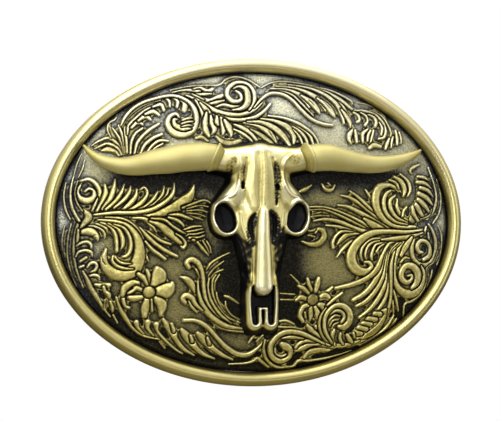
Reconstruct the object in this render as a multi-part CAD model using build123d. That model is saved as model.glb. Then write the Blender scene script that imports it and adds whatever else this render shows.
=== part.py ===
from build123d import *
import os
from math import cos, hypot, radians, sin, sqrt

# An oval western dress belt buckle, as worn: the decorated face looks along -Y, +X is to the
# viewer's right and +Z is up. The origin is the centre of the oval in the plane of the rim's back,
# which is where the front of the belt lies. Millimetres.

# ---------------------------------------------------------------- driving dimensions
WIDTH, HEIGHT = 98.0, 75.0           # the oval over its rim
RIM_WIDTH = 3.3                      # the raised edge, seen from the front
RIM_HEIGHT = 3.4                     # the raised edge, from its back plane to its crest
RIM_ROUND = 1.6                      # the rounding that makes the crest nearly half round
RIM_BACK_EDGE = 0.5                  # the softened outer back edge
PLATE_THICKNESS = 1.8
EDGE_LEVEL = 1.3                     # how far the plate's front stands off the back plane at the rim
DOME_LEVEL = 6.8                     # the same at the middle
DOME_SHARE = 0.88                    # the share of the ellipsoid's half-width that the plate uses
RELIEF = 0.8                         # thickness of the applied scrollwork
RELIEF_GAP = 0.01                    # solder film between the scrollwork and the plate
SPRAY_GAP = 0.15                     # between one applied spray and the next
BELT_WIDTH = 38.0
FAR = 60.0                           # longer than anything here, for cutting tools

HALF_W, HALF_H = WIDTH / 2, HEIGHT / 2
FIELD_W, FIELD_H = HALF_W - RIM_WIDTH, HALF_H - RIM_WIDTH      # half sizes of the field inside the rim

# The domed plate is a cap of an ellipsoid whose centre lies behind the back plane.
DOME_W, DOME_H = FIELD_W / DOME_SHARE, FIELD_H / DOME_SHARE
DOME_DEPTH = (DOME_LEVEL - EDGE_LEVEL) / (1 - sqrt(1 - DOME_SHARE**2))
DOME_CENTRE = DOME_LEVEL - DOME_DEPTH                          # level of the ellipsoid's centre

# Hinged bail on the viewer's right and hook on the viewer's left, behind the plate.
HINGE_X, HINGE_BEHIND = 17.0, 5.5
BAIL_CLEAR = BELT_WIDTH + 3.0        # between the bail's legs
BAIL_LEG = 3.6                       # width of the flat strip
BAIL_STRIP = 2.2                     # thickness of the flat strip
BAIL_REACH = 15.5                    # from the hinge to the middle of the bail's bar
BAIL_CORNER = 5.0                    # outer corner radius
KNUCKLE_R = 2.5
PIN_R, PIN_CLEARANCE = 1.5, 0.06
LUG_GAP, LUG_THICKNESS, LUG_FOOT = 0.25, 2.6, 9.0
PIN_HEAD_R, PIN_HEAD = 2.3, 0.9
HOOK_X, HOOK_R, HOOK_LEAN = -30.0, 2.25, 12.0
HOOK_BEHIND = 8.5                    # how far the hook's tip stands behind the back plane
HOOK_BASE_R, HOOK_BASE = 4.6, 2.0
HOOK_TAIL_R = 1.5                    # the post's riveted tail inside its boss

# Steer skull: (height z, half width, level of the surface, level of the section's centre)
SKULL_SECTIONS = [
    (16.6, 3.4, 9.4),
    (14.0, 6.6, 10.9),
    (9.5, 6.2, 11.4),
    (4.5, 8.6, 11.6),
    (0.0, 9.6, 11.6),
    (-4.5, 7.4, 11.5),
    (-11.0, 4.6, 11.2),
    (-18.0, 4.1, 10.2),
    (-24.5, 3.3, 8.6),
]
SKULL_BED = 5.4                      # level of the sections' centres, inside the plate before it is cut
ORBIT_X, ORBIT_Z, ORBIT_R, ORBIT_LEVEL = 8.1, 0.2, 2.9, 11.3
NOSE_SLOT = (3.6, 9.5, -23.2, 8.2)   # width, height, lowest z, depth level of the nasal opening
LEFT, RIGHT = -1, 1
HORNS = {                            # distance from the middle, z, level, radius
    LEFT: [
        (10.6, 14.1, 9.3, 2.9),
        (17.5, 13.8, 9.1, 3.1),
        (24.8, 12.9, 8.2, 2.75),
        (30.6, 12.1, 6.9, 2.0),
        (35.1, 13.2, 5.4, 1.4),
        (37.6, 14.8, 4.6, 0.95),
        (39.5, 17.0, 4.1, 0.4),
    ],
    RIGHT: [
        (10.6, 14.0, 9.3, 2.9),
        (15.2, 13.9, 9.2, 2.95),
        (19.6, 13.2, 8.8, 2.5),
        (26.3, 12.5, 7.7, 1.95),
        (31.3, 13.1, 6.5, 1.65),
        (35.5, 14.5, 5.2, 1.15),
        (38.7, 16.3, 4.1, 0.4),
    ],
}
CORE_START = (4.0, 13.2, 9.0)        # where the skull's horn core begins
CORE_R = 2.75
CUFF_R, CUFF_LENGTH = 3.5, 1.5
SCREW_Z = (9.0, -8.0)
SCREW_R, SCREW_HEAD_R, SCREW_HEAD, SCREW_CLEARANCE, SCREW_BITE = 1.25, 2.4, 1.2, 0.15, 2.2
SLOT_WIDTH, SLOT_DEPTH = 0.6, 0.5


# ---------------------------------------------------------------- the dome
def dome(inset=0.0):
    """The whole ellipsoid, grown by -inset, as a cutting tool."""
    ball = scale(Solid.make_sphere(1.0), by=(DOME_W - inset, DOME_DEPTH - inset, DOME_H - inset))
    return Pos(0, -DOME_CENTRE, 0) * ball


def dome_level(x, z, inset=0.0):
    """Level of the dome's surface in front of the back plane at (x, z)."""
    share = (x / (DOME_W - inset)) ** 2 + (z / (DOME_H - inset)) ** 2
    return DOME_CENTRE + (DOME_DEPTH - inset) * sqrt(1 - share)


def upright(level):
    """A sketch plane facing the viewer whose x is X and whose y is Z, at that level."""
    return Plane(origin=(0, -level, 0), x_dir=(1, 0, 0), z_dir=(0, -1, 0))


def column(face, low, high):
    """A face drawn as (x, z), extruded towards the viewer from one level to another."""
    return extrude(upright(low) * face, high - low)


FIELD = column(Ellipse(FIELD_W, FIELD_H), 0, FAR)
OUTER_DOME, INNER_DOME = dome(), dome(PLATE_THICKNESS)


def rod(start, direction, radius, length):
    """A cylinder from start along direction."""
    return extrude(Plane(origin=start, z_dir=direction) * Circle(radius), length)


# ---------------------------------------------------------------- plate and rim
def base_plate():
    plate = (OUTER_DOME & FIELD) - INNER_DOME
    for z in SCREW_Z:
        plate -= rod((0, 0, z), (0, -1, 0), SCREW_R + SCREW_CLEARANCE, FAR)
    return plate


def rim():
    ring = column(Ellipse(HALF_W, HALF_H) - Ellipse(FIELD_W, FIELD_H), 0, RIM_HEIGHT)
    crest = ring.faces().sort_by(Axis.Y)[0].edges()
    ring = fillet(crest, RIM_ROUND)
    back = ring.faces().sort_by(Axis.Y)[-1].outer_wire().edges()
    return fillet(back, RIM_BACK_EDGE)


# ---------------------------------------------------------------- scrollwork
def blade(base, tip, bend, width):
    """A crescent leaf from base to tip: its middle line bows sideways by bend, left of base to tip."""
    (x0, z0), (x1, z1) = base, tip
    length = hypot(x1 - x0, z1 - z0)
    side = (-(z1 - z0) / length, (x1 - x0) / length)
    middle = ((x0 + x1) / 2, (z0 + z1) / 2)
    bulges = [bend + width / 2, bend - width / 2]
    via = [(middle[0] + side[0] * b, middle[1] + side[1] * b) for b in bulges]
    sides = [ThreePointArc(base, via[0], tip), ThreePointArc(tip, via[1], base)]
    return make_face(sides)


def petals(centre, reach, width, count, turn):
    """A flower head, as a round eye and leaf-shaped petals."""
    head = [(centre, reach * 0.4)]
    for k in range(count):
        angle = radians(turn + 360 * k / count)
        tip = (centre[0] + reach * cos(angle), centre[1] + reach * sin(angle))
        head.append((centre, tip, 0.0, width))
    return head


def drawn(spray, grow=0.0):
    """A spray's outline: each pair is a disc (centre, radius), each longer entry a blade."""
    sketch = Sketch()
    for shape in spray:
        if len(shape) == 2:
            centre, radius = shape
            sketch += Pos(*centre) * Circle(radius + grow)
        else:
            base, tip, bend, width = shape
            sketch += blade(base, tip, bend, width + 2 * grow)
    return sketch


SPRAYS = {
    "upper_left_scroll": [
        ((-17.5, 22.2), 3.6),
        ((-31.0, 19.6), (-14.6, 23.4), 5.6, 2.8),
        ((-29.6, 14.6), (-30.6, 22.4), 0.0, 2.6),
        ((-29.8, 14.6), (-21.4, 21.4), 1.2, 3.4),
        ((-29.4, 15.4), (-37.0, 17.0), -1.4, 2.2),
    ],
    "top_scroll": [
        ((-3.4, 28.4), 4.0),
        ((-15.6, 28.8), (2.6, 25.6), -3.6, 3.2),
        ((-15.0, 28.6), (-6.0, 29.0), 1.0, 2.4),
    ],
    "upper_right_spray": [
        ((0.4, 27.0), (24.4, 24.4), 4.2, 5.0),
        ((23.0, 26.4), (29.4, 18.0), 4.2, 2.6),
        ((26.2, 19.4), 2.5),
        ((21.4, 18.6), (34.6, 18.4), 0.6, 2.8),
    ],
    "crown_leaves": [
        ((-11.6, 21.0), (3.6, 18.0), 0.8, 3.2),
        ((-3.0, 20.2), (14.2, 17.4), 2.6, 3.2),
    ],
    "left_acanthus": [
        ((-38.4, 0.8), 2.0),
        ((-38.4, 1.8), (-19.8, 8.2), -3.0, 3.6),
        ((-38.4, 0.8), (-15.2, 3.2), -0.4, 4.0),
        ((-38.0, 0.2), (-33.0, -12.0), 6.2, 5.2),
        ((-38.0, 0.2), (-18.2, -7.6), 1.8, 4.2),
        ((-38.8, 6.4), 3.0),
        ((-39.6, 0.8), (-37.0, 6.4), -1.6, 1.8),
    ],
    "left_edge_fronds": [
        ((-41.6, 9.6), (-41.2, -5.0), -1.2, 2.0),
        ((-42.0, 0.0), (-34.8, -19.4), -2.4, 3.2),
    ],
    "right_acanthus": [
        ((36.6, -1.4), 2.4),
        ((31.2, 4.0), 4.5),
        ((38.0, -1.0), (26.0, 1.0), -0.8, 3.6),
        ((36.0, -2.4), (37.0, 9.6), -5.0, 2.8),
        ((31.0, 1.4), (11.6, 2.6), -0.6, 2.4),
        ((37.0, -2.4), (20.4, -5.6), 1.4, 3.2),
        ((23.6, -8.2), 3.8),
    ],
    "right_fronds": [
        ((34.6, -5.8), 1.7),
        ((35.6, -13.4), 4.0),
        ((39.4, -7.0), 3.2),
        ((34.6, -4.8), (41.0, -7.0), 0.4, 2.6),
        ((34.6, -4.6), (24.6, -25.8), 3.0, 5.0),
        ((33.6, -5.6), (17.4, -15.6), -3.0, 1.8),
        ((33.6, -6.4), (22.4, -20.0), -2.2, 3.4),
    ],
    "lower_left_spray": [
        ((-1.4, -29.8), (-28.4, -22.8), 1.4, 3.2),
        ((-3.0, -30.0), (-17.6, -22.2), -1.0, 2.4),
        ((-9.0, -29.8), (-22.0, -22.2), -0.6, 2.6),
    ],
    "lower_leaf_fan": [
        ((-4.0, -24.2), (-16.4, -9.2), 2.8, 3.8),
        ((-4.4, -23.8), (-10.6, -12.2), 1.6, 2.8),
        ((-15.6, -9.9), 1.9),
        ((-16.2, -17.7), 2.1),
    ],
    "bottom_scroll": [
        ((4.8, -28.9), 3.5),
        ((17.2, -29.0), (2.4, -27.8), -2.4, 3.2),
        ((7.0, -29.8), (17.0, -29.6), 0.6, 1.8),
    ],
    "lower_right_scroll": [
        ((17.8, -22.4), 3.5),
        ((16.8, -28.8), (15.2, -20.6), 1.4, 2.4),
        ((15.6, -28.2), (25.0, -27.2), -0.2, 2.2),
        ((16.4, -21.4), (18.8, -16.8), 0.2, 1.4),
    ],
    "left_flower": petals((-25.4, -16.0), 5.0, 3.4, 6, 30),
    "right_flower": petals((12.0, -18.6), 4.6, 2.8, 6, 0),
}


def overlay(sketch, keep_clear):
    """A flat sketch turned into a leaf layer that follows the dome, cut clear of the skull."""
    layer = (dome(-RELIEF) & column(sketch, 0, FAR) & FIELD) - dome(-RELIEF_GAP)
    return layer - keep_clear


# ---------------------------------------------------------------- steer skull and horns
def skull_mass():
    sections = []
    for z, half, level in SKULL_SECTIONS:
        plane = Plane(origin=(0, -SKULL_BED, z), x_dir=(1, 0, 0), z_dir=(0, 0, 1))
        sections.append(plane * Ellipse(half, level - SKULL_BED))
    return loft(sections)


def horn_point(side, k):
    x, z, level, _ = HORNS[side][k]
    return Vector(side * x, -level, z)


def horn_core(side):
    """The bony stub on the skull that carries the horn."""
    x, z, level = CORE_START
    start = Vector(side * x, -level, z)
    reach = horn_point(side, 0) - start
    return rod(start, reach.normalized(), CORE_R, reach.length - CUFF_LENGTH)


def steer_skull():
    skull = skull_mass() + horn_core(LEFT) + horn_core(RIGHT)
    skull -= dome(-RELIEF_GAP)
    for side in (LEFT, RIGHT):
        socket = scale(Solid.make_sphere(1.0), by=(ORBIT_R * 0.8, ORBIT_R * 1.4, ORBIT_R))
        skull -= Pos(side * ORBIT_X, -ORBIT_LEVEL, ORBIT_Z) * socket
    width, height, low, floor = NOSE_SLOT
    slot = Pos(0, low + height / 2) * Rectangle(width, height)
    skull -= column(slot, floor, FAR)
    for side in (LEFT, RIGHT):
        skull -= horn_cuff(side)
    for z in SCREW_Z:
        level = dome_level(0, z) + SCREW_BITE
        skull -= rod((0, 0, z), (0, -1, 0), SCREW_R, level)
    return skull


def horn(side):
    sections = []
    last = len(HORNS[side]) - 1
    for k, (_, _, _, radius) in enumerate(HORNS[side]):
        ahead, behind = horn_point(side, min(k + 1, last)), horn_point(side, max(k - 1, 0))
        sections.append(Plane(origin=horn_point(side, k), z_dir=(ahead - behind)) * Circle(radius))
    return loft(sections)


def horn_cuff(side):
    """The flared ring where the horn meets its core."""
    along = (horn_point(side, 1) - horn_point(side, 0)).normalized()
    base = horn_point(side, 0)
    low = Plane(origin=base - along * CUFF_LENGTH, z_dir=along) * Circle(CORE_R + 0.1)
    high = Plane(origin=base, z_dir=along) * Circle(CUFF_R)
    return loft([low, high])


def skull_screw(z):
    """A slotted screw from the back of the plate into the skull."""
    seat = min(dome_level(r * SCREW_HEAD_R, z + s * SCREW_HEAD_R, PLATE_THICKNESS)
               for r in (0, 1) for s in (-1, 0, 1))
    top = seat - RELIEF_GAP
    head = rod((0, -top + SCREW_HEAD, z), (0, -1, 0), SCREW_HEAD_R, SCREW_HEAD)
    head = fillet(head.edges().filter_by(GeomType.CIRCLE).sort_by(Axis.Y)[-1], SCREW_HEAD * 0.4)
    slot = Pos(0, -top + SCREW_HEAD - SLOT_DEPTH / 2, z) * Box(2 * SCREW_HEAD_R, SLOT_DEPTH, SLOT_WIDTH)
    shank_end = dome_level(0, z) + SCREW_BITE - 0.2
    return (head - slot) + rod((0, -top, z), (0, -1, 0), SCREW_R, shank_end - top)


# ---------------------------------------------------------------- hinged bail
LEG_INNER = BAIL_CLEAR / 2
LEG_OUTER = LEG_INNER + BAIL_LEG
LUG_INNER = LEG_OUTER + LUG_GAP
LUG_OUTER = LUG_INNER + LUG_THICKNESS
HINGE = (HINGE_X, HINGE_BEHIND)


def bail():
    """A flat strip bent to a U, with a round knuckle at the end of each leg."""
    bar = HINGE_X + BAIL_REACH
    outside = Rectangle(2 * BAIL_REACH + BAIL_LEG, 2 * LEG_OUTER)
    outside = fillet(outside.vertices(), BAIL_CORNER)
    inside = Rectangle(2 * BAIL_REACH - BAIL_LEG, 2 * LEG_INNER)
    inside = fillet(inside.vertices(), BAIL_CORNER - BAIL_LEG)
    loop = Pos(HINGE_X, 0) * (outside - inside)
    loop -= Pos(HINGE_X - FAR / 2, 0) * Rectangle(FAR, FAR)
    strip = column(loop, -HINGE_BEHIND - BAIL_STRIP / 2, -HINGE_BEHIND + BAIL_STRIP / 2)
    long_edges = strip.edges().filter_by(Axis.Z).group_by(Axis.X)[-1] + strip.edges().filter_by(
        Axis.Z).filter_by(lambda e: abs(e.center().X - (bar - BAIL_LEG / 2)) < 0.01)
    strip = fillet(long_edges, BAIL_STRIP * 0.3)
    for side in (-1, 1):
        knuckle = Pos(*HINGE, side * (LEG_INNER + BAIL_LEG / 2)) * Cylinder(KNUCKLE_R, BAIL_LEG)
        strip += knuckle
        strip -= Pos(*HINGE, side * LEG_INNER) * Cylinder(PIN_R + PIN_CLEARANCE, 2 * BAIL_LEG + 1)
    return strip


def hinge_lug(side):
    """An ear on the plate's back with a foot that follows the dome."""
    ear_face = Circle(KNUCKLE_R + 0.4) + Pos(0, -FAR / 2) * Rectangle(2 * KNUCKLE_R + 0.8, FAR)
    foot_depth = dome_level(HINGE_X, LUG_OUTER, PLATE_THICKNESS) - 1.4
    foot_face = Pos(0, -FAR / 2 - HINGE_BEHIND - foot_depth) * Rectangle(LUG_FOOT, FAR)
    plane = Plane(origin=(*HINGE, LUG_INNER), x_dir=(1, 0, 0), z_dir=(0, 0, 1))
    ear = extrude(plane * (ear_face + foot_face), LUG_THICKNESS)
    ear &= dome(PLATE_THICKNESS + RELIEF_GAP)
    ear -= Pos(*HINGE, LUG_INNER) * Cylinder(PIN_R, 4 * LUG_THICKNESS)
    return ear if side > 0 else mirror(ear, Plane.XY)


def hinge_pin(side):
    """A rivet: domed head outside the lug, shank through the lug and the bail's knuckle."""
    tip = LEG_INNER + 0.3
    shank = Pos(*HINGE, (LUG_OUTER + tip) / 2) * Cylinder(PIN_R, LUG_OUTER - tip)
    shank = chamfer(shank.edges().sort_by(Axis.Z)[0], 0.3)
    head = Pos(*HINGE, LUG_OUTER + PIN_HEAD / 2) * Cylinder(PIN_HEAD_R, PIN_HEAD)
    head = fillet(head.edges().sort_by(Axis.Z)[-1], PIN_HEAD * 0.8)
    pin = shank + head
    return pin if side > 0 else mirror(pin, Plane.XY)


# ---------------------------------------------------------------- hook
LEAN = Vector(sin(radians(HOOK_LEAN)), cos(radians(HOOK_LEAN)), 0)     # out of the back, towards the bail
HOOK_FOOT = Vector(HOOK_X, -dome_level(HOOK_X, 0, PLATE_THICKNESS), 0)
HOOK_LENGTH = (HOOK_BEHIND - HOOK_FOOT.Y) / LEAN.Y                     # from the plate to the tip


def hook_base():
    """A round boss, square to the post, whose front follows the dome."""
    boss = rod(HOOK_FOOT - LEAN * HOOK_BASE_R, LEAN, HOOK_BASE_R, HOOK_BASE_R + HOOK_BASE)
    boss = fillet(boss.edges().filter_by(GeomType.CIRCLE).sort_by(Axis.Y)[-1], HOOK_BASE * 0.3)
    boss -= rod(HOOK_FOOT - LEAN * HOOK_BASE_R, LEAN, HOOK_TAIL_R, FAR)
    return boss & dome(PLATE_THICKNESS + RELIEF_GAP)


def hook_post():
    """The leaning stud that a belt hole drops over, with a rounded tip and a thinner tail."""
    post = rod(HOOK_FOOT + LEAN * HOOK_BASE, LEAN, HOOK_R, HOOK_LENGTH - HOOK_BASE)
    post = fillet(post.edges().filter_by(GeomType.CIRCLE).sort_by(Axis.Y)[-1], HOOK_R * 0.9)
    tail = rod(HOOK_FOOT, LEAN, HOOK_TAIL_R, HOOK_BASE)
    return post + (tail & dome(PLATE_THICKNESS + RELIEF_GAP))


# ---------------------------------------------------------------- all the pieces
skull = steer_skull()
nodes = {
    "base_plate": base_plate(),
    "rim": rim(),
    "steer_skull": skull,
    "left_horn": horn(LEFT),
    "right_horn": horn(RIGHT),
    "left_horn_cuff": horn_cuff(LEFT),
    "right_horn_cuff": horn_cuff(RIGHT),
    "upper_skull_screw": skull_screw(SCREW_Z[0]),
    "lower_skull_screw": skull_screw(SCREW_Z[1]),
    "bail": bail(),
    "upper_hinge_lug": hinge_lug(1),
    "lower_hinge_lug": hinge_lug(-1),
    "upper_hinge_pin": hinge_pin(1),
    "lower_hinge_pin": hinge_pin(-1),
    "hook_base": hook_base(),
    "hook_post": hook_post(),
}
taken = Sketch()
for name, spray in SPRAYS.items():
    nodes[name] = overlay(drawn(spray) - taken, skull)
    taken += drawn(spray, SPRAY_GAP)

os.makedirs("parts", exist_ok=True)
for name, shape in nodes.items():
    export_step(shape, f"parts/{name}.step")
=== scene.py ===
import math

import bpy
import numpy as np
from mathutils import Matrix, Vector

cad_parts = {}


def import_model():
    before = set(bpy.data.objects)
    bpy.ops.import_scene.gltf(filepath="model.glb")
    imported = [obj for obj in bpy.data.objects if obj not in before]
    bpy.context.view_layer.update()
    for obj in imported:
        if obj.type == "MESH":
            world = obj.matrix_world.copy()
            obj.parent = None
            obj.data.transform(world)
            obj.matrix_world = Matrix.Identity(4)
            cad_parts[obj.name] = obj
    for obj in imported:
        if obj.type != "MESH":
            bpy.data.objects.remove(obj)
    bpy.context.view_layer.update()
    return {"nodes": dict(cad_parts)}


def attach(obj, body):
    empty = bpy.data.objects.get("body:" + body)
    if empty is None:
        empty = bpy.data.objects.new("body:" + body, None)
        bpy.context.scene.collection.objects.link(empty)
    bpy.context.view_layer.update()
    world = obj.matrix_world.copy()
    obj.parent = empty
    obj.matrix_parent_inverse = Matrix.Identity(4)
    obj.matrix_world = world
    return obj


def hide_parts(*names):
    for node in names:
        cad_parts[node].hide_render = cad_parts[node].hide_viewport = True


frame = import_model()

# An oval antique-brass western buckle. Lengths below are millimetres: x to the right, z up, and
# "level" towards the viewer, which is -Y in the frame.
MM = 0.001
WIDTH, HEIGHT = 98.0, 75.0
RIM_WIDTH = 3.3
PLATE_THICKNESS = 1.8
EDGE_LEVEL, DOME_LEVEL, DOME_SHARE = 1.3, 6.8, 0.88
FIELD_W, FIELD_H = WIDTH / 2 - RIM_WIDTH, HEIGHT / 2 - RIM_WIDTH
DOME_W, DOME_H = FIELD_W / DOME_SHARE, FIELD_H / DOME_SHARE
DOME_DEPTH = (DOME_LEVEL - EDGE_LEVEL) / (1 - math.sqrt(1 - DOME_SHARE**2))
DOME_CENTRE = DOME_LEVEL - DOME_DEPTH
STEP = 0.13                      # spacing of the relief's height field
BARE = -0.4                      # height of the field where there is no relief
ROOT = 0.35                      # how far the relief reaches into the plate
REFLECTION_FROM, REFLECTION_SPAN = 4, 26     # painted reflection: the metal is tinted paler and bluer above this height, over this distance
REFLECTION_SIDE, REFLECTION_RATE = 34, 0.1   # and beyond this distance to either side, by this much per mm
THINNEST = 0.08                  # smallest radius of a stroke
FAR = 1e3                        # distance given to cells that no stroke reaches


# ---------------------------------------------------------------- general tools
def dome_level(x, z, inset=0.0):
    """Level of the plate's domed face, or of the surface that lies inset below it."""
    share = (x / (DOME_W - inset)) ** 2 + (z / (DOME_H - inset)) ** 2
    return DOME_CENTRE + (DOME_DEPTH - inset) * np.sqrt(np.clip(1 - share, 0.0, 1))


def make_piece(name, node, points, faces, material, tone, flat_from=None):
    """A piece from (x, level, z) points in mm; faces from index flat_from on are flat shaded."""
    points = np.asarray(points, float)
    mesh = bpy.data.meshes.new(name)
    verts = np.stack([points[:, 0], -points[:, 1], points[:, 2]], 1) * MM
    mesh.from_pydata(verts.tolist(), [], faces)
    smooth = np.ones(len(mesh.polygons), bool)
    if flat_from is not None:
        smooth[flat_from:] = False
    mesh.polygons.foreach_set("use_smooth", smooth)
    across, up = np.abs(points[:, 0]), points[:, 2]
    field = np.hypot(across / FIELD_W, up / FIELD_H) < 1
    # painted reflection: paler, bluer metal towards the top and the far ends, standing in for the lights it
    # would mirror
    painted_reflection = np.clip(np.maximum((up - REFLECTION_FROM) / REFLECTION_SPAN, field * REFLECTION_RATE * (across - REFLECTION_SIDE)), 0, 1)
    for label, values in (("tone", tone), ("painted_reflection", painted_reflection)):
        layer = mesh.attributes.new(label, "FLOAT", "POINT")
        layer.data.foreach_set("value", np.asarray(values, np.float32))
    mesh.materials.append(material)
    piece = bpy.data.objects.new(name, mesh)
    bpy.context.scene.collection.objects.link(piece)
    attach(piece, "buckle")
    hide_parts(node)


def curve_through(points, per=8):
    """Catmull-Rom curve through rows of numbers."""
    p = np.array(points, float)
    if len(p) == 2:
        t = np.linspace(0, 1, per + 1)[:, None]
        return p[0] * (1 - t) + p[1] * t
    a = np.vstack([2 * p[0] - p[1], p, 2 * p[-1] - p[-2]])
    rows = []
    for i in range(1, len(a) - 2):
        p0, p1, p2, p3 = a[i - 1:i + 3]
        for t in np.arange(per) / per:
            rows.append(0.5 * (2 * p1 + (p2 - p0) * t + (2 * p0 - 5 * p1 + 4 * p2 - p3) * t**2
                               + (3 * p1 - p0 - 3 * p2 + p3) * t**3))
    return np.vstack([rows, a[-2]])


def blur(field, radius):
    """Gaussian blur with a radius in cells."""
    reach = int(3 * radius) + 1
    taps = np.exp(-0.5 * (np.arange(-reach, reach + 1) / radius) ** 2)
    taps /= taps.sum()
    for axis in (0, 1):
        wide = np.pad(field, [(reach, reach) if a == axis else (0, 0) for a in (0, 1)], mode="edge")
        size = field.shape[axis]
        field = sum(t * wide.take(range(k, k + size), axis) for k, t in enumerate(taps))
    return field


def stroke_distance(xs, zs, points, reach):
    """Measures the cells around a stroke of (x, z, width) points.

    Returns the window of cells, and in it the signed distance to the outline (below 0 inside), the
    stroke's radius beside each cell and the distance to its centre line.
    """
    step = xs[1] - xs[0]
    path = curve_through([(x, z, w / 2) for x, z, w in points])
    path[:, 2] = np.maximum(path[:, 2], THINNEST)

    def window(lows, highs, pad, x0, z0, nx, nz):
        i0, i1 = int((lows[0] - pad - x0) / step), int((highs[0] + pad - x0) / step) + 2
        j0, j1 = int((lows[1] - pad - z0) / step), int((highs[1] + pad - z0) / step) + 2
        return max(0, j0), min(nz, j1), max(0, i0), min(nx, i1)

    pad = path[:, 2].max() + reach
    j0, j1, i0, i1 = window(path.min(0), path.max(0), pad, xs[0], zs[0], len(xs), len(zs))
    x_all, z_all = np.meshgrid(xs[i0:i1], zs[j0:j1])
    edge = np.full(x_all.shape, FAR)
    radius = np.full(x_all.shape, 0.1)
    centre = np.full(x_all.shape, FAR)
    for a, b in zip(path[:-1], path[1:]):
        low, high = np.minimum(a, b), np.maximum(a, b)
        l0, l1, k0, k1 = window(low, high, high[2] + reach, xs[i0], zs[j0], x_all.shape[1], x_all.shape[0])
        if l1 <= l0 or k1 <= k0:
            continue
        x, z = x_all[l0:l1, k0:k1], z_all[l0:l1, k0:k1]
        dx, dz = b[0] - a[0], b[1] - a[1]
        t = np.clip(((x - a[0]) * dx + (z - a[1]) * dz) / (dx * dx + dz * dz + 1e-12), 0, 1)
        d = np.hypot(x - a[0] - t * dx, z - a[1] - t * dz)
        r = a[2] + t * (b[2] - a[2])
        nearer = d - r < edge[l0:l1, k0:k1]
        for field, value in ((radius, r), (centre, d), (edge, d - r)):
            field[l0:l1, k0:k1][nearer] = value[nearer]
    return (slice(j0, j1), slice(i0, i1)), edge, radius, centre


def block(cells, xs, zs, top, bottom, tone):
    """A closed mesh over the chosen grid cells: points, faces, index of the first wall face, tones."""
    for _ in range(3):
        a, b, c, d = cells[:-1, :-1], cells[1:, 1:], cells[:-1, 1:], cells[1:, :-1]
        cells[:-1, 1:] |= a & b & ~c & ~d
        cells[:-1, :-1] |= c & d & ~a & ~b
    nz, nx = top.shape
    used = np.zeros((nz, nx), bool)
    for dj in (0, 1):
        for di in (0, 1):
            used[dj:nz - 1 + dj, di:nx - 1 + di] |= cells
    index = np.full((nz, nx), -1)
    count = int(used.sum())
    index[used] = np.arange(count)
    j, i = np.nonzero(cells)
    corners = np.stack([index[j, i], index[j, i + 1], index[j + 1, i + 1], index[j + 1, i]], 1)
    walls = []
    framed = np.pad(cells, 1)
    for k, (dj, di) in enumerate(((-1, 0), (0, 1), (1, 0), (0, -1))):
        outer = ~framed[j + 1 + dj, i + 1 + di]
        a, b = corners[outer, k], corners[outer, (k + 1) % 4]
        walls.append(np.stack([b, a, a + count, b + count], 1))
    faces = np.vstack([corners, corners[:, ::-1] + count, *walls])
    x, z = np.meshgrid(xs, zs)
    front = np.stack([x[used], top[used], z[used]], 1)
    back = np.stack([x[used], bottom[used], z[used]], 1)
    return np.vstack([front, back]), faces.tolist(), len(corners), np.tile(tone[used], 2)


# ---------------------------------------------------------------- materials
def ramp_stops(node, stops):
    """Sets a colour ramp to the (position, colour) stops."""
    ramp = node.color_ramp
    while len(ramp.elements) < len(stops):
        ramp.elements.new(0.5)
    for element, (place, colour) in zip(ramp.elements, stops):
        element.position = place
        element.color = (*colour, 1)


def attribute_node(nodes, label):
    node = nodes.new("ShaderNodeAttribute")
    node.attribute_name = label
    return node


def math_node(nodes, operation, second):
    node = nodes.new("ShaderNodeMath")
    node.operation = operation
    node.inputs[1].default_value = second
    return node


def mix_node(nodes, blend):
    node = nodes.new("ShaderNodeMix")
    node.data_type = "RGBA"
    node.blend_type = blend
    return node


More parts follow.
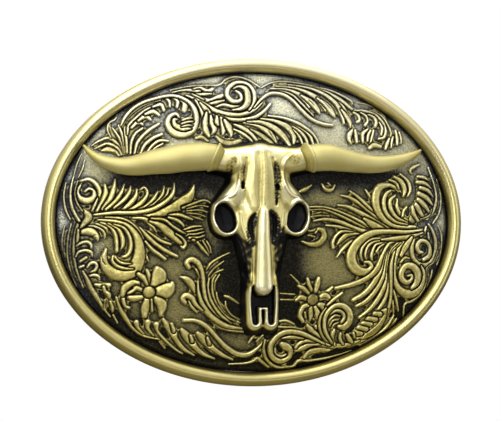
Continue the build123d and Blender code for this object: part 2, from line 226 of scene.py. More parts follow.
def antique_metal(name, stops, rough=(0.55, 0.28), grain=0.0, grain_size=900.0, metallic=0.95,
                  upper=None, mottle=(260.0, 0.22)):
    """Cast metal whose patina, with the painted shade and highlights added to it, follows the "tone"
    attribute, broken up by fine noise.

    rough is the roughness of dark and of bright metal, mottle the noise's scale and how far it shifts
    the tone, and upper the tint and strength of the painted reflection that the painted_reflection attribute
    marks.
    """
    material = bpy.data.materials.new(name)
    material.use_nodes = True
    nodes, links = material.node_tree.nodes, material.node_tree.links
    shader = nodes["Principled BSDF"]
    tone = attribute_node(nodes, "tone")
    place = nodes.new("ShaderNodeTexCoord")
    noise = nodes.new("ShaderNodeTexNoise")
    noise.inputs["Scale"].default_value = mottle[0]
    noise.inputs["Detail"].default_value = 5.0
    links.new(place.outputs["Object"], noise.inputs["Vector"])
    spread = math_node(nodes, "MULTIPLY_ADD", mottle[1])
    links.new(noise.outputs["Fac"], spread.inputs[0])
    shifted = math_node(nodes, "SUBTRACT", mottle[1] / 2)
    links.new(tone.outputs["Fac"], shifted.inputs[0])
    links.new(shifted.outputs[0], spread.inputs[2])
    ramp = nodes.new("ShaderNodeValToRGB")
    ramp_stops(ramp, stops)
    links.new(spread.outputs[0], ramp.inputs["Fac"])
    colour = ramp.outputs["Color"]
    # painted reflection: the colour is tinted by upper where the painted_reflection attribute marks it
    if upper:
        painted_reflection = attribute_node(nodes, "painted_reflection")
        rise = math_node(nodes, "MULTIPLY", upper[1])
        links.new(painted_reflection.outputs["Fac"], rise.inputs[0])
        tint = mix_node(nodes, "MIX")
        reflection_colour = mix_node(nodes, "MULTIPLY")
        reflection_colour.inputs["Factor"].default_value = 1.0
        reflection_colour.inputs["B"].default_value = (*upper[0], 1)
        links.new(colour, reflection_colour.inputs["A"])
        links.new(rise.outputs[0], tint.inputs["Factor"])
        links.new(colour, tint.inputs["A"])
        links.new(reflection_colour.outputs["Result"], tint.inputs["B"])
        colour = tint.outputs["Result"]
    links.new(colour, shader.inputs["Base Color"])
    sheen = nodes.new("ShaderNodeMapRange")
    sheen.inputs["To Min"].default_value = rough[0]
    sheen.inputs["To Max"].default_value = rough[1]
    links.new(spread.outputs[0], sheen.inputs["Value"])
    links.new(sheen.outputs["Result"], shader.inputs["Roughness"])
    shader.inputs["Metallic"].default_value = metallic
    if grain:
        fine = nodes.new("ShaderNodeTexNoise")
        fine.inputs["Scale"].default_value = grain_size
        fine.inputs["Detail"].default_value = 3.0
        links.new(place.outputs["Object"], fine.inputs["Vector"])
        bump = nodes.new("ShaderNodeBump")
        bump.inputs["Strength"].default_value = grain
        bump.inputs["Distance"].default_value = 0.0002
        links.new(fine.outputs["Fac"], bump.inputs["Height"])
        links.new(bump.outputs["Normal"], shader.inputs["Normal"])
    return material


PATINA = (0.012, 0.012, 0.014)
relief_metal = antique_metal(
    "relief_brass",
    [(0.0, PATINA), (0.28, (0.05, 0.046, 0.03)), (0.5, (0.31, 0.265, 0.08)),
     (0.75, (0.64, 0.56, 0.20)), (1.0, (0.93, 0.85, 0.42))],
    rough=(0.56, 0.38), grain=0.3, grain_size=2200.0, mottle=(1300.0, 0.65),
    upper=((0.98, 1.06, 1.8), 0.9))
ground_metal = antique_metal(
    "ground_brass",
    [(0.0, (0.011, 0.010, 0.007)), (0.3, (0.045, 0.042, 0.028)), (0.6, (0.15, 0.135, 0.06)),
     (1.0, (0.32, 0.28, 0.115))],
    rough=(0.5, 0.42), grain=0.9, grain_size=3000.0, mottle=(2400.0, 1.0),
    upper=((2.45, 2.75, 5.0), 1.0))
rim_metal = antique_metal(
    "rim_brass",
    [(0.0, (0.03, 0.028, 0.02)), (0.25, (0.27, 0.22, 0.08)), (0.5, (0.44, 0.375, 0.125)),
     (1.0, (0.70, 0.62, 0.27))],
    rough=(0.45, 0.31), grain=0.10, grain_size=1500.0, upper=((1.22, 1.26, 1.8), 0.8))
skull_metal = antique_metal(
    "skull_brass",
    [(0.0, PATINA), (0.25, (0.07, 0.062, 0.035)), (0.5, (0.56, 0.48, 0.17)),
     (0.75, (0.88, 0.80, 0.39)), (1.0, (0.98, 0.94, 0.68))],
    rough=(0.55, 0.34), grain=0.30, grain_size=900.0)
horn_metal = antique_metal(
    "horn_brass",
    [(0.0, (0.05, 0.045, 0.02)), (0.3, (0.42, 0.34, 0.09)), (0.6, (0.52, 0.45, 0.15)),
     (1.0, (0.68, 0.62, 0.33))],
    rough=(0.62, 0.50), grain=0.10, grain_size=1200.0, metallic=0.80)
back_metal = antique_metal(
    "hardware_brass",
    [(0.0, (0.42, 0.35, 0.15)), (0.25, (0.62, 0.53, 0.25)), (1.0, (0.66, 0.58, 0.32))],
    rough=(0.5, 0.36), grain=0.25, grain_size=1400.0)
pin_metal = antique_metal(
    "pin_steel",
    [(0.0, (0.42, 0.41, 0.39)), (0.3, (0.58, 0.57, 0.54)), (1.0, (0.60, 0.59, 0.56))],
    rough=(0.42, 0.3), grain=0.15, grain_size=1800.0)


# ---------------------------------------------------------------- the scrollwork, (x, z, width) in mm
def leaf(*points, top=0.85):
    """A raised stroke."""
    return "leaf", points, top


def cut(*points, depth=0.45):
    """An engraved line."""
    return "cut", points, depth


RELIEF = {
    "upper_left_scroll": [
        # arched leaf and narrow blades springing from behind the horn
        leaf((-30.8, 15, .6), (-31.8, 17.4, .8), (-33.8, 18.9, .8), (-36, 18.2, .7), (-37.6, 17.2, .4),
             top=.6),
        leaf((-31, 15, .6), (-32, 16.6, .8), (-34, 17.6, .8), (-35.8, 17, .7), (-37, 16.4, .4), top=.6),
        leaf((-31.6, 14.8, .6), (-32.4, 15.8, .9), (-34, 16.3, 1.2), (-35.4, 16, .6), top=.5),
        leaf((-33.2, 18.9, .4), (-33.9, 20.8, .6), (-33.5, 22.4, .6), (-32.2, 23.2, .6),
             (-31.6, 24.4, .4), top=.6),
        leaf((-30.2, 15.4, .6), (-31.2, 18.4, .8), (-32.8, 21.2, .5), top=.75),
        leaf((-30, 15.4, .6), (-30.5, 18.6, .8), (-31.4, 21.8, .5)),
        leaf((-29.8, 15.4, .6), (-29.9, 18.6, .8), (-30.2, 21.9, .5)),
        # feathered inner band
        leaf((-29.6, 19.6, .5), (-29.2, 21.6, .9), (-27.6, 23.2, 1), (-25.8, 24.8, .9),
             (-23.8, 25.9, .8), (-22.2, 26.2, .5)),
        leaf((-28.6, 21.2, .8), (-27.2, 22.4, 1), (-26.1, 21.9, .7)),
        leaf((-27, 22.8, .8), (-25.4, 23.8, 1.1), (-24.3, 23, .8)),
        leaf((-25.4, 24.3, .8), (-23.6, 24.9, 1.1), (-22.3, 24, .8)),
        leaf((-23.6, 26, .7), (-21.8, 26.5, 1), (-21.2, 25.2, .9)),
        leaf((-30.6, 21.4, .4), (-29.4, 23.6, .6), (-27.2, 25.6, .6), (-24.6, 27, .6),
             (-21.8, 27.6, .4)),
        # lobes hanging under the stem
        leaf((-20.8, 28.2, .6), (-19.9, 27.3, .9), (-19.8, 26, .7)),
        leaf((-19.2, 28.3, .6), (-18, 27.4, 1), (-18.2, 25.9, .8)),
        leaf((-17.6, 28.1, .6), (-16.3, 26.9, 1.4), (-16.6, 25.2, 1.3)),
        # the stem and its scroll
        leaf((-30.9, 21.8, .6), (-30, 23.6, .9), (-28.2, 25.6, .9), (-25.8, 27.1, .9), (-23, 28, .9),
             (-20.2, 28.6, .9), (-17.8, 28.4, .9), (-15.4, 27, 1), (-14.1, 24.8, 1.2),
             (-14.1, 22.4, 1.3), (-15.2, 20.4, 1.6), (-17.2, 19.7, 1.9), (-19.3, 20.2, 1.8),
             (-20.5, 21.9, 1.3), (-20, 23.6, 1.1), (-18.6, 24.3, .9), (-17.9, 23.5, .7), top=.95),
        leaf((-15.4, 20.8, .5), (-17.2, 20.9, 1.3), (-18.8, 21.6, 1.2), (-19.1, 22.9, .9),
             (-18.3, 23, .6)),
        leaf((-14.9, 23.3, .5), (-16, 23.2, .7), (-17.2, 22.8, .5)),
        leaf((-14.8, 22.5, .5), (-16, 22.4, .7), (-17.4, 22, .5)),
        leaf((-15, 21.6, .4), (-16.2, 21.6, .6), (-17.4, 21.3, .4)),
        # blades on the lower side
        leaf((-29.1, 15.2, .6), (-28.8, 17.8, .8), (-27.8, 19.8, .8), (-26.2, 21, .7)),
        leaf((-28.2, 15.2, .6), (-27.4, 17.8, .9), (-25.2, 20.2, .9), (-22.5, 22, .8)),
        leaf((-26.9, 15.2, .6), (-25.8, 17.2, .9), (-23.8, 18.8, .9), (-21.9, 19.6, .8)),
        leaf((-25.6, 15.2, .6), (-24.4, 16.8, .8), (-22.6, 18.1, .8), (-20.6, 18, .7)),
        leaf((-24.8, 15, .5), (-23.6, 16.4, .6), (-21.8, 17.4, .6)),
    ],
    "top_scroll": [
        leaf((-19.5, 30, .3), (-15, 30.9, .5), (-11, 31.1, .5), (-8.2, 31.2, .6), (-6.4, 32.6, .6),
             (-4, 33.2, .6), (-1.4, 32.5, .6), (1.4, 30.6, .5), top=.5),
        leaf((-19, 29.4, .4), (-16.5, 29.9, .6), (-14.4, 29.9, .9), (-12.8, 29.6, .8)),
        leaf((-14.2, 30.2, .5), (-12.6, 30.5, .7), (-11, 29.6, 1.2), (-9.8, 30.2, .9)),
        leaf((-13.6, 28.9, .6), (-11.8, 28.9, .9), (-10.2, 29, .6)),
        leaf((-12.6, 28, .7), (-10.6, 27.4, 1.1), (-8.6, 28.2, 1.2), (-7.2, 28.8, .8)),
        leaf((-11, 26.6, .6), (-9, 27, 1), (-7.4, 27.4, .6)),
        leaf((-9.6, 25.8, .6), (-7.6, 26.4, .9), (-5.6, 26, .9), (-3.8, 26.1, .5)),
        leaf((-14.6, 29, .4), (-13.2, 28.2, .7), (-12, 27.6, .5)),
        leaf((-16, 28.7, .4), (-13.8, 27.7, .8), (-11.4, 26.2, 1), (-9.2, 24.9, 1.1), (-6.6, 24.2, 1.1),
             (-3.8, 24.1, 1), (-1.2, 25, 1), (.8, 26.6, .9), (2, 28, .5)),
        leaf((-9, 24, .5), (-6.6, 23.1, .9), (-3.6, 22.9, 1), (-.6, 23.5, 1), (1.6, 24.9, .9),
             (3.3, 26.7, .8)),
        leaf((-1.8, 25.2, .6), (-.5, 27.2, 1), (-.4, 29.6, 1.1), (-1.9, 31.4, 1.1), (-4.2, 31.7, 1.1),
             (-6.1, 30.5, 1.1), (-6.6, 28.7, 1.2), (-5.7, 27.4, 1.2), (-4.3, 27.2, 1), (-3.4, 27.8, .9),
             (-3.6, 29, .9), (-4.5, 29.7, .7), top=.95),
        leaf((-5, 30.3, .5), (-3.7, 30.8, .8), (-2.2, 30.2, 1.3), (-1.8, 28.4, 1.5), (-2.2, 26.6, 1.4),
             (-3.6, 25.5, 1), (-5.6, 25.2, .5)),
        # leaf hanging below the stem
        leaf((-14, 27.6, .5), (-13, 26, .9), (-12.6, 24.4, .9), (-12.3, 22.9, .6)),
        leaf((-12.9, 26.9, .6), (-11.7, 25.4, 1.2), (-10.8, 24.2, .9), (-10.3, 23.2, .5)),
    ],
    "crown_leaves": [
        leaf((-14.2, 18.7, .8), (-12.8, 18.9, .9), (-11.6, 18, .7), top=.4),
        leaf((-9.6, 19, .7), (-8.2, 17.8, 1.2), (-6.2, 17.4, 1.2), (-4.2, 18, 1), top=.45),
        leaf((-11.6, 24.6, .7), (-12, 22.4, 1.3), (-11.9, 20.4, 1.4), (-11.3, 19, .8)),
        leaf((-10.7, 23.9, .6), (-10.5, 22.2, 1.3), (-10, 20.6, 1.2), (-10.6, 19.6, .6)),
        cut((-11.6, 21.7, .2), (-11.2, 20.6, .3), (-10.6, 19.6, .2)),
        leaf((-9.3, 23.8, .6), (-9.3, 22.4, 1.3), (-9.1, 21.7, .8)),
        leaf((-8.4, 23.4, .7), (-7.6, 21.9, 1.9), (-7.9, 20.4, 1.2), (-8.2, 19.4, .6)),
        leaf((-7.6, 22.8, .8), (-6.7, 21.2, 1.5), (-6.2, 19.6, 1), (-6.4, 18.9, .5)),
        cut((-7.5, 20.8, .15), (-7.3, 20, .3), (-7.5, 19.3, .2)),
        leaf((-5.4, 21.8, .6), (-3.6, 21, 1.1), (-1.8, 19.7, 1.1), (-.5, 18.2, .9)),
        leaf((-5.6, 20.7, .5), (-3.8, 19.8, .9), (-2.2, 18.6, .9), (-1.2, 17.5, .6)),
        leaf((-3.2, 22.2, .5), (-.4, 21.8, 1.1), (1.9, 20.5, 1.4), (3.3, 18.9, 1.3), (4.1, 17.2, .8)),
        cut((2.5, 20.4, .2), (3.1, 19.3, .35), (3.9, 18, .2)),
        leaf((-1.6, 20.7, .6), (.6, 19.4, 1.1), (2.4, 18.1, 1.1), (3.8, 17, .6), top=.55),
        leaf((-2.4, 22.5, .5), (1, 22.3, 1.1), (3.8, 21, 1.4), (5.8, 19.2, 1.4), (7.2, 17, 1)),
        leaf((.8, 23.2, .5), (4.2, 22.6, 1), (7, 21.2, 1.4), (8.3, 19.4, 1.3), (8.2, 17.4, .8)),
        cut((6.6, 19.8, .2), (7.2, 18.7, .35), (7.8, 17.6, .2)),
        leaf((8.3, 20.8, .4), (9.3, 19.6, .8), (10, 18.2, .8), (10.4, 16.8, .6)),
        leaf((8.1, 21.5, .4), (9.9, 20.2, .9), (11.1, 18.6, .9), (11.6, 16.9, .7)),
        leaf((8.3, 22.2, .4), (10.7, 20.8, .9), (12.2, 19.2, .9), (12.9, 17, .7)),
        leaf((2.6, 23.9, .5), (6.4, 23.3, .8), (9.8, 22, .9), (12.4, 20.2, .8), (13.6, 18.6, .7),
             (14.2, 17, .5)),
    ],
    "upper_right_spray": [
        leaf((1.6, 30.6, .4), (4, 31.8, .5), (7.2, 32.2, .5), (12, 31.6, .5), (16.6, 30.5, .5),
             (20.4, 29, .5), (23.4, 27.6, .4), top=.5),
        leaf((13, 31, .3), (17.4, 30.4, .5), (20.6, 29.1, .7), (22.8, 27.8, .7), (23.2, 27, .4)),
        leaf((12, 30.9, .4), (16.8, 29.8, .8), (20.2, 28, 1), (22.6, 26, .9), (23.7, 25.3, .6)),
        leaf((18.8, 28, .4), (20.6, 26.4, .8), (21.6, 24.8, .7), (22.3, 23.8, .4)),
        leaf((8, 31.4, .4), (13, 30.6, .8), (16.6, 29.1, 1), (19, 27.1, 1.1), (20.2, 24.8, 1.1),
             (20.6, 22.3, .7)),
        leaf((20.2, 25.6, .6), (21.2, 24.2, 1.1), (22, 22.6, 1.1), (22.1, 21.4, .5)),
        leaf((5, 31, .4), (10, 30.4, .8), (13.6, 28.9, 1.2), (15.6, 27.2, 1.2), (16.4, 25.3, .8)),
        leaf((14.6, 28.2, .6), (16.6, 26.6, 1.2), (17.8, 25, 1.3), (18.5, 23.8, .6)),
        cut((16.1, 27.4, .2), (16.9, 26.6, .35), (17.7, 25.7, .2)),
        leaf((3.6, 30.4, .4), (7.6, 30.1, .8), (10.6, 28.9, 1.2), (12.1, 27.4, 1.2), (12.5, 26, .7)),
        leaf((10.8, 28.8, .6), (12.8, 27.4, 1.3), (14.2, 25.8, 1.3), (14.9, 24.5, .6)),
        cut((12.5, 27.8, .2), (13.1, 27.2, .35), (13.8, 26.5, .2)),
        leaf((2.6, 29.6, .4), (6, 29.7, .6), (8.6, 28.9, .7), (10.3, 27.3, .6), (12, 25.4, .6),
             (13.4, 24, .4)),
        leaf((-.6, 25.8, .5), (1.4, 27.9, .8), (3.6, 29.2, .9), (6.4, 29, .9), (8.6, 27.6, .9),
             (10.5, 25.4, .9), (12.8, 23.2, .9), (15.4, 22.1, .9), (17.7, 21.8, .8), top=.95),
        # the scroll at the right end of the spray
        leaf((24.4, 27.5, .3), (27.4, 27, .5), (29.6, 26, .5), (31.2, 23.8, .5), (32.3, 21.2, .4),
             top=.5),
        leaf((28.4, 25.4, .4), (30.4, 24.2, .6), (31.6, 22.2, .7), (32.2, 20.2, .6), (31.6, 18.6, .4),
             top=.7),
        leaf((23.4, 25.5, .5), (26, 25.4, .8), (28.6, 24.5, .9), (30.3, 22.7, .9), (30.8, 20.6, .9),
             (30.2, 19.2, .9), (28.9, 18.8, .6)),
        leaf((23.2, 25, .6), (24.3, 24.2, .9), (24.5, 23.2, .8), (23.9, 22.7, .8)),
        leaf((25, 25, .5), (26.2, 24.2, .8), (26.5, 23, .7), (25.8, 22, .9)),
        leaf((26.8, 24.6, .5), (28.2, 23.9, .9), (28.7, 22.8, 1), (28.3, 21.8, .9)),
        leaf((29.4, 22.8, .5), (30, 21.4, .8), (29.6, 19.8, .7)),
        leaf((23, 21, .9), (21.9, 19.8, 1.2), (21.6, 18.6, 1), (22, 17.5, .6)),
        leaf((23.2, 20.7, .8), (23.3, 19.2, 1), (23.4, 17.9, .8)),
        cut((22.3, 20.2, .2), (22.6, 19, .3), (22.8, 17.8, .2)),
        leaf((26.4, 21, .8), (25.1, 20, .9), (24.9, 18.6, .9), (24.9, 17.8, .6)),
        leaf((27, 20.7, .8), (26.3, 19.5, .9), (26, 18.2, .7)),
        leaf((27.8, 20.8, .6), (27.2, 19.2, .8), (26.7, 17.6, .6)),
        cut((25.9, 20.4, .2), (25.5, 19.3, .3), (25.4, 18, .2)),
        leaf((26.5, 16.6, .9), (27.6, 17.3, 1.2), (29.2, 17, 1), top=.7),
        leaf((31.6, 19, .6), (30.9, 17.6, 1), (30.4, 16.4, .7)),
        leaf((32.6, 19.4, .6), (32.1, 18, .8), (31.9, 16.8, .6)),
        leaf((33.4, 21, .5), (33.6, 19.2, 1), (33.5, 17.6, .8)),
        leaf((34.4, 20.6, .5), (34.7, 19, .7), (34.6, 17.8, .4), top=.6),
    ],
    "left_acanthus": [
        # upper scroll
        leaf((-38.2, 1.8, .9), (-36.9, 3.6, 1), (-36, 5.9, 1.1), (-36.6, 8.1, 1.1), (-38.3, 9.5, 1),
             (-40.2, 9.2, .6)),
        leaf((-40.2, 8.3, .5), (-41, 6.8, .9), (-40.4, 5.3, 1.3), (-38.9, 4.7, 1.5), (-37.5, 5.4, 1.3),
             (-37.4, 6.8, .9), (-38.4, 7.4, .8), (-39.3, 6.8, .7), top=.95),
        leaf((-37.9, 2.2, .5), (-37.2, 3.8, .8), (-36.6, 5.2, .5)),
        # feathers of the upper leaf
        leaf((-36.8, 2.4, .8), (-35.5, 4.4, 1.2), (-34.8, 6.4, 1.2), (-34.9, 8.3, .6)),
        leaf((-35.6, 2.8, .8), (-34, 4.8, 1.2), (-33.1, 7, 1.1), (-32.6, 9.4, .4)),
        leaf((-34.8, 2.7, .8), (-32.8, 4.4, 1), (-31.4, 6.3, .9), (-30.6, 8.4, .3)),
        leaf((-33, 3, .7), (-30.8, 4.8, 1), (-29.6, 6.4, .9), (-29.2, 7.8, .4)),
        leaf((-31.2, 2.5, .7), (-29.4, 4, 1.2), (-28.2, 5.6, 1), (-27.9, 7.2, .5)),
        leaf((-29.8, 2.3, .8), (-27.8, 3.4, 1.2), (-26.3, 4.8, 1), (-25.6, 6.3, .8), (-26.2, 7.5, .8),
             (-27.2, 7, .6)),
        leaf((-28, 2.3, .7), (-25.8, 3.3, 1), (-24.4, 4.7, 1), (-23.3, 6.5, .6)),
        leaf((-25.8, 2.7, .6), (-23.6, 4.1, .9), (-22.3, 5.8, .9), (-21.8, 7.8, .4)),
        leaf((-23.6, 3.5, .6), (-21.6, 5.2, .8), (-20.8, 7.3, .5)),
        # broad leaf towards the skull
        leaf((-29.5, .8, .5), (-24.6, 1.2, 1.2), (-20.6, 2.4, 2), (-17.7, 4, 2.4), (-15.9, 5.8, 1.6),
             (-15.1, 8, .5), top=.8),
        leaf((-37.6, 1.5, .6), (-33, 1.9, .9), (-28.5, 1.9, 1), (-24.8, 2.5, 1.1), (-21.8, 4.1, 1.1),
             (-20, 6, 1), (-19.5, 8.4, .4), top=.95),
        # bristles beside the eye socket
        leaf((-17.8, 2.8, .8), (-15.2, 3.8, .8), (-13, 4.5, .6), (-11.6, 4, .4), (-11, 3, .3), top=.6),
        leaf((-16.8, 2.6, .6), (-14, 3.3, .5), (-11.8, 3, .3), top=.6),
        leaf((-16.8, 2.1, .6), (-14, 2.3, .5), (-12, 1.8, .3), top=.6),
        leaf((-16.8, 1.6, .6), (-14.4, 1.4, .5), (-12.6, .8, .3), top=.6),
        leaf((-16.6, 1.1, .5), (-14.8, .6, .5), (-13.2, .1, .3), top=.6),
        leaf((-20.8, 1.2, .7), (-18.8, 1.3, 1), (-17, .7, .9), (-15.6, .2, .5)),
        leaf((-21, .7, .7), (-19.2, .1, 1), (-17.9, -.9, .8), (-17.5, -1.7, .4)),
        leaf((-18, -2.4, .8), (-15.8, -1.5, .7), (-13.6, -1.3, .4)),
        leaf((-17.4, -2.8, .8), (-15.2, -2.3, .7), (-13.2, -1.9, .3)),
        leaf((-17, -3.3, .8), (-15, -3.1, .7), (-13, -2.6, .3)),
        leaf((-16.4, -3.9, .8), (-14.6, -3.9, .7), (-12.9, -3.4, .3)),
        leaf((-15.6, -4.4, .7), (-14.2, -4.7, .6), (-12.9, -4.3, .3)),
        leaf((-14.6, -4.9, .7), (-13.4, -6.4, .9), (-12.1, -7.9, .4)),
        leaf((-13.4, -4.6, .5), (-12.6, -6, .6), (-11.9, -7.4, .3)),
        leaf((-12.5, -4.7, .4), (-11.8, -6, .5), (-11.5, -7.4, .3)),
        # leaves to the lower right
        leaf((-29, .7, .5), (-26.4, .5, .9), (-25, -.6, 1), (-23.7, -2.5, .4)),
        leaf((-24.8, .5, .7), (-22, .2, .8), (-20.2, -1.2, .8), (-18.4, -2.4, .8), (-17.2, -3, .4)),
        leaf((-25.2, -.1, .6), (-22.8, -1.1, 1.4), (-20.9, -2.7, 1.7), (-19.2, -4.3, 1.3),
             (-17.9, -5.3, .9)),
        leaf((-19.4, -3, .5), (-18.1, -3.9, .7), (-17.3, -5.1, .9), (-17.7, -6.1, .9),
             (-18.3, -5.8, .5), top=.95),
        leaf((-25.6, -2.4, .5), (-24.2, -3.5, .8), (-22.6, -4.6, .9), (-20.6, -5.3, .7)),
        leaf((-27.4, -1.6, .6), (-25.9, -3.3, 1), (-23.9, -5.2, 1), (-21.6, -6.8, 1), (-19.2, -8, .8)),
        leaf((-26.2, -4.6, .6), (-24.8, -6.3, .9), (-23.2, -7.5, .9), (-21.8, -8.6, .8)),
        leaf((-26.8, -6.8, .6), (-26.1, -7.9, .7), (-25.5, -9, .4)),
        # the large curl below
        leaf((-35, .9, .5), (-31.4, .5, .9), (-29, -.9, 1), (-27.5, -2.7, .9), (-26.6, -4, .4)),
        leaf((-29.2, -11.6, 1.4), (-29.8, -13.4, .5)),
        leaf((-36.6, .4, .5), (-33, 0, .9), (-30.4, -.9, 1.1), (-28.5, -2.8, 1.4), (-27.6, -5.2, 1.9),
             (-27.6, -8, 2.4), (-28.6, -10.6, 2.6), (-30.6, -12, 2.3), (-33, -11.7, 2.2),
             (-34.9, -10.2, 1.9), (-35.4, -8.3, 1.4), (-34.9, -6.2, .7)),
        cut((-35.9, -7.8, .15), (-35.6, -8.8, .3), (-35, -9.7, .15)),
        leaf((-28.9, -10.7, .4), (-31, -10.5, .8), (-32.6, -9.9, .9), (-33.5, -8.8, .8),
             (-33.2, -7.8, .6)),
        leaf((-29.4, -9.5, .4), (-31.1, -9.4, .7), (-32.3, -8.8, .7), (-32.9, -7.9, .6)),
        leaf((-38.6, -1, .5), (-36.9, -1.2, .8), (-35.7, -1.9, .8), (-35.1, -3, .7), (-35.2, -3.9, .4)),
        leaf((-37, -.5, .5), (-35.7, -.9, .8), (-34.8, -1.6, .8), (-34.5, -2.4, .5)),
        leaf((-36, -.2, .5), (-34, -1.1, .8), (-32.8, -3, 1), (-32.5, -5.2, .9), (-32.5, -6.6, .9)),
        leaf((-34.4, -.4, .4), (-32.3, -1.6, .9), (-31.3, -3.6, 1.1), (-31.2, -5.3, 1),
             (-31.6, -6.2, .5)),
        leaf((-33.2, -.6, .4), (-31, -1.5, .8), (-29.8, -3.2, .9), (-29.4, -5.2, 1), (-29.7, -6.9, 1),
             (-30.5, -7.8, .9), (-31.3, -7.9, .6)),
        leaf((-40.8, -2.6, .6), (-39.6, -2.2, 1.4), (-38, -2.3, 1.7), (-36.9, -3.3, 1.2),
             (-36.6, -4.3, .5)),
        cut((-38.6, -4.1, .15), (-38, -3.4, .25), (-37.2, -3, .15)),
        leaf((-39.8, 2.8, .6), (-38.6, 1.2, 1.6), (-39.6, -.4, 1.2), (-40.8, -1.6, .6), top=.7),
    ],
    "left_edge_fronds": [
        leaf((-40.7, .2, .9), (-42, 2.8, .9), (-42.5, 5.8, .8), (-42, 9.2, .5), (-40.8, 12.6, .3),
             top=.8),
        leaf((-42.6, .6, .6), (-43.6, 3, .7), (-43.9, 6, .6), (-43.4, 9, .4), top=.6),
        leaf((-39.9, 2.4, .5), (-41, 4.2, .6), (-41.5, 6.6, .5), (-40.8, 9.2, .4), top=.6),
        leaf((-40.6, 10, .3), (-39.6, 12.2, .5), (-39.2, 14, .3), top=.5),
        leaf((-41.6, 10.6, .3), (-40.9, 13, .5), (-39.8, 15.4, .3), top=.5),
        leaf((-41, -.6, .8), (-41.7, -3.5, .8), (-41.9, -7, .8), (-41.2, -11, .7), (-39.8, -14.6, .4),
             top=.6),
        leaf((-42.4, -.4, .5), (-43.1, -3.5, .6), (-43.3, -7, .6), (-42.6, -11, .5), (-41.2, -14.5, .3),
             top=.5),
        leaf((-43.8, -.8, .4), (-44.4, -4, .5), (-44.3, -8, .4), top=.4),
        leaf((-40.9, -1.8, .7), (-41, -3.4, .9), (-41.2, -4.9, .6), top=.75),
        leaf((-41.3, -5.4, .5), (-40.3, -4.7, .8), (-39, -4.5, .9), (-38.2, -5.1, .9), (-38.1, -6, .6)),
        leaf((-41.5, -7.8, .5), (-40.8, -6.7, .8), (-39.3, -6.4, .9), (-38.2, -6.8, .9),
             (-37.9, -7.6, .6)),
        leaf((-40.5, -8.8, .8), (-39.2, -8, .9), top=.7),
        leaf((-40.6, -10.1, .8), (-39.8, -9.8, .8)),
        leaf((-39, -10.2, .6), (-38.3, -9.3, .9), (-37.3, -9.2, .9), (-36.9, -10, .9),
             (-37.4, -10.9, .9), (-38.2, -11.2, .6)),
        leaf((-38.8, -12.2, .6), (-37.6, -11.9, .9), (-36.6, -12.2, .9), (-36.3, -12.8, .6)),
        leaf((-39.9, -11, .6), (-39, -12.8, 1), (-38.1, -14.8, 1.1), (-36.8, -16.9, 1),
             (-35.2, -19.6, .5), top=.7),
        leaf((-37.2, -14, .8), (-35.8, -14.3, 1.1), (-34.2, -14.2, 1.1)),
        leaf((-35.4, -14.6, .9), (-35, -15.6, .8), (-34.3, -16.2, 1), (-34.1, -16.9, .8)),
        leaf((-33.9, -17.8, .6), (-33.4, -19.2, .8), (-33.3, -20, .5)),
        leaf((-35, -17.4, .4), (-35.1, -19.4, .5), (-33.8, -21.2, .3), top=.5),
        leaf((-33.2, -20.8, .4), (-32.2, -22.6, .4), top=.45),
    ],
    "right_acanthus": [
        # blades towards the skull
        leaf((10.8, 2.9, .4), (14, 2.9, .6), (17, 2.2, .8), (21, .6, 1), (25.5, -1.4, .9),
             (29, -2.5, .6)),
        leaf((11.2, 2.2, .3), (14.5, 2.3, .5), (17.4, 1.4, .7), (20.8, -.1, .8), (24.5, -1.9, .6),
             top=.7),
        leaf((12, 1.2, .4), (14.2, 1.7, .5), top=.5),
        leaf((11, .5, .4), (13.6, .9, .6), (16, .8, .5), top=.55),
        leaf((12.2, -.3, .4), (15, .1, .8), (18.4, -.5, 1), (22, -2, 1.1), (26, -3, .8)),
        leaf((15.2, -1.3, .5), (18, -1.6, .8), (20.8, -2.4, .8), (23.4, -3.3, .5)),
        leaf((18.2, 3.3, .5), (20.6, 2.9, .9), (24, 1.3, 1.1), (27.4, -.5, 1), (30.5, -1.8, .6)),
        leaf((19, 5.6, .4), (21.4, 4.9, .8), (24, 3.2, .9), (27, .9, .8), (29, -.6, .4)),
        leaf((21.1, 6.6, .4), (23, 5.2, .8), (25.2, 3.2, .9), (27, 1.6, .5)),
        leaf((25, 6.9, .4), (25.8, 5.6, .7), (26.4, 4.4, .5), top=.7),
        leaf((24.4, .2, .8), (26.6, -1.2, 1.6), (29, -2.2, 1.2), top=.75),
        # hooked leaves below them
        leaf((23, -3.2, .5), (20.4, -3.4, 1.1), (18.7, -4.6, 1.1), (17.8, -5.6, .6), top=.75),
        leaf((21.6, -2.8, .4), (19, -2.7, .8), (17.5, -3.7, .8), (16.7, -5.2, .9), (16.8, -6.4, .9)),
        leaf((23.4, -4.4, .5), (21, -5.2, .9), (19, -6.8, .9), (17.6, -8.6, .5)),
        leaf((9.4, -4.9, .5), (11.4, -5.6, 1), (13.4, -5.4, 1.3), (14.6, -4, 1.4), (14.4, -2.6, 1.2),
             (13.2, -2.2, .9), (12.6, -3, .8), top=.7),
        leaf((10.2, -2.2, .4), (11.6, -2.6, .7), (12.6, -2.2, .5), top=.5),
        leaf((10.8, -3.5, .3), (12.5, -3.9, .6), top=.5),
        leaf((9, 6.3, .7), (10.6, 7, 1), (12, 7.9, .4), top=.5),
        leaf((14.5, 8.2, .4), (15.3, 7, .9), (16.7, 6.8, .9), (17.6, 7.9, .4), top=.6),
        leaf((16, 8.4, .4), (16.6, 7.8, .4), top=.6),
        # upper curl
        leaf((37, -1.6, .8), (33.4, -1.6, 1.1), (30.2, -.6, 1.3), (27.9, 1.8, 1.6), (27.3, 4.8, 1.8),
             (28.3, 7.3, 1.7), (30.6, 8, 1.1), (32.4, 7.4, .8), (33.1, 6.6, .5), top=.9),
        leaf((31, 9.2, .6), (32.6, 8.5, .9), (33.2, 7.2, .7)),
        leaf((32.2, 10, .7), (33.9, 8.8, 1.3), (34.7, 7, 1.2), (34.3, 5.5, .7)),
        leaf((33.8, 10.6, .6), (35.6, 8.9, .9), (36.1, 7, .9), (35.4, 5.5, .6)),
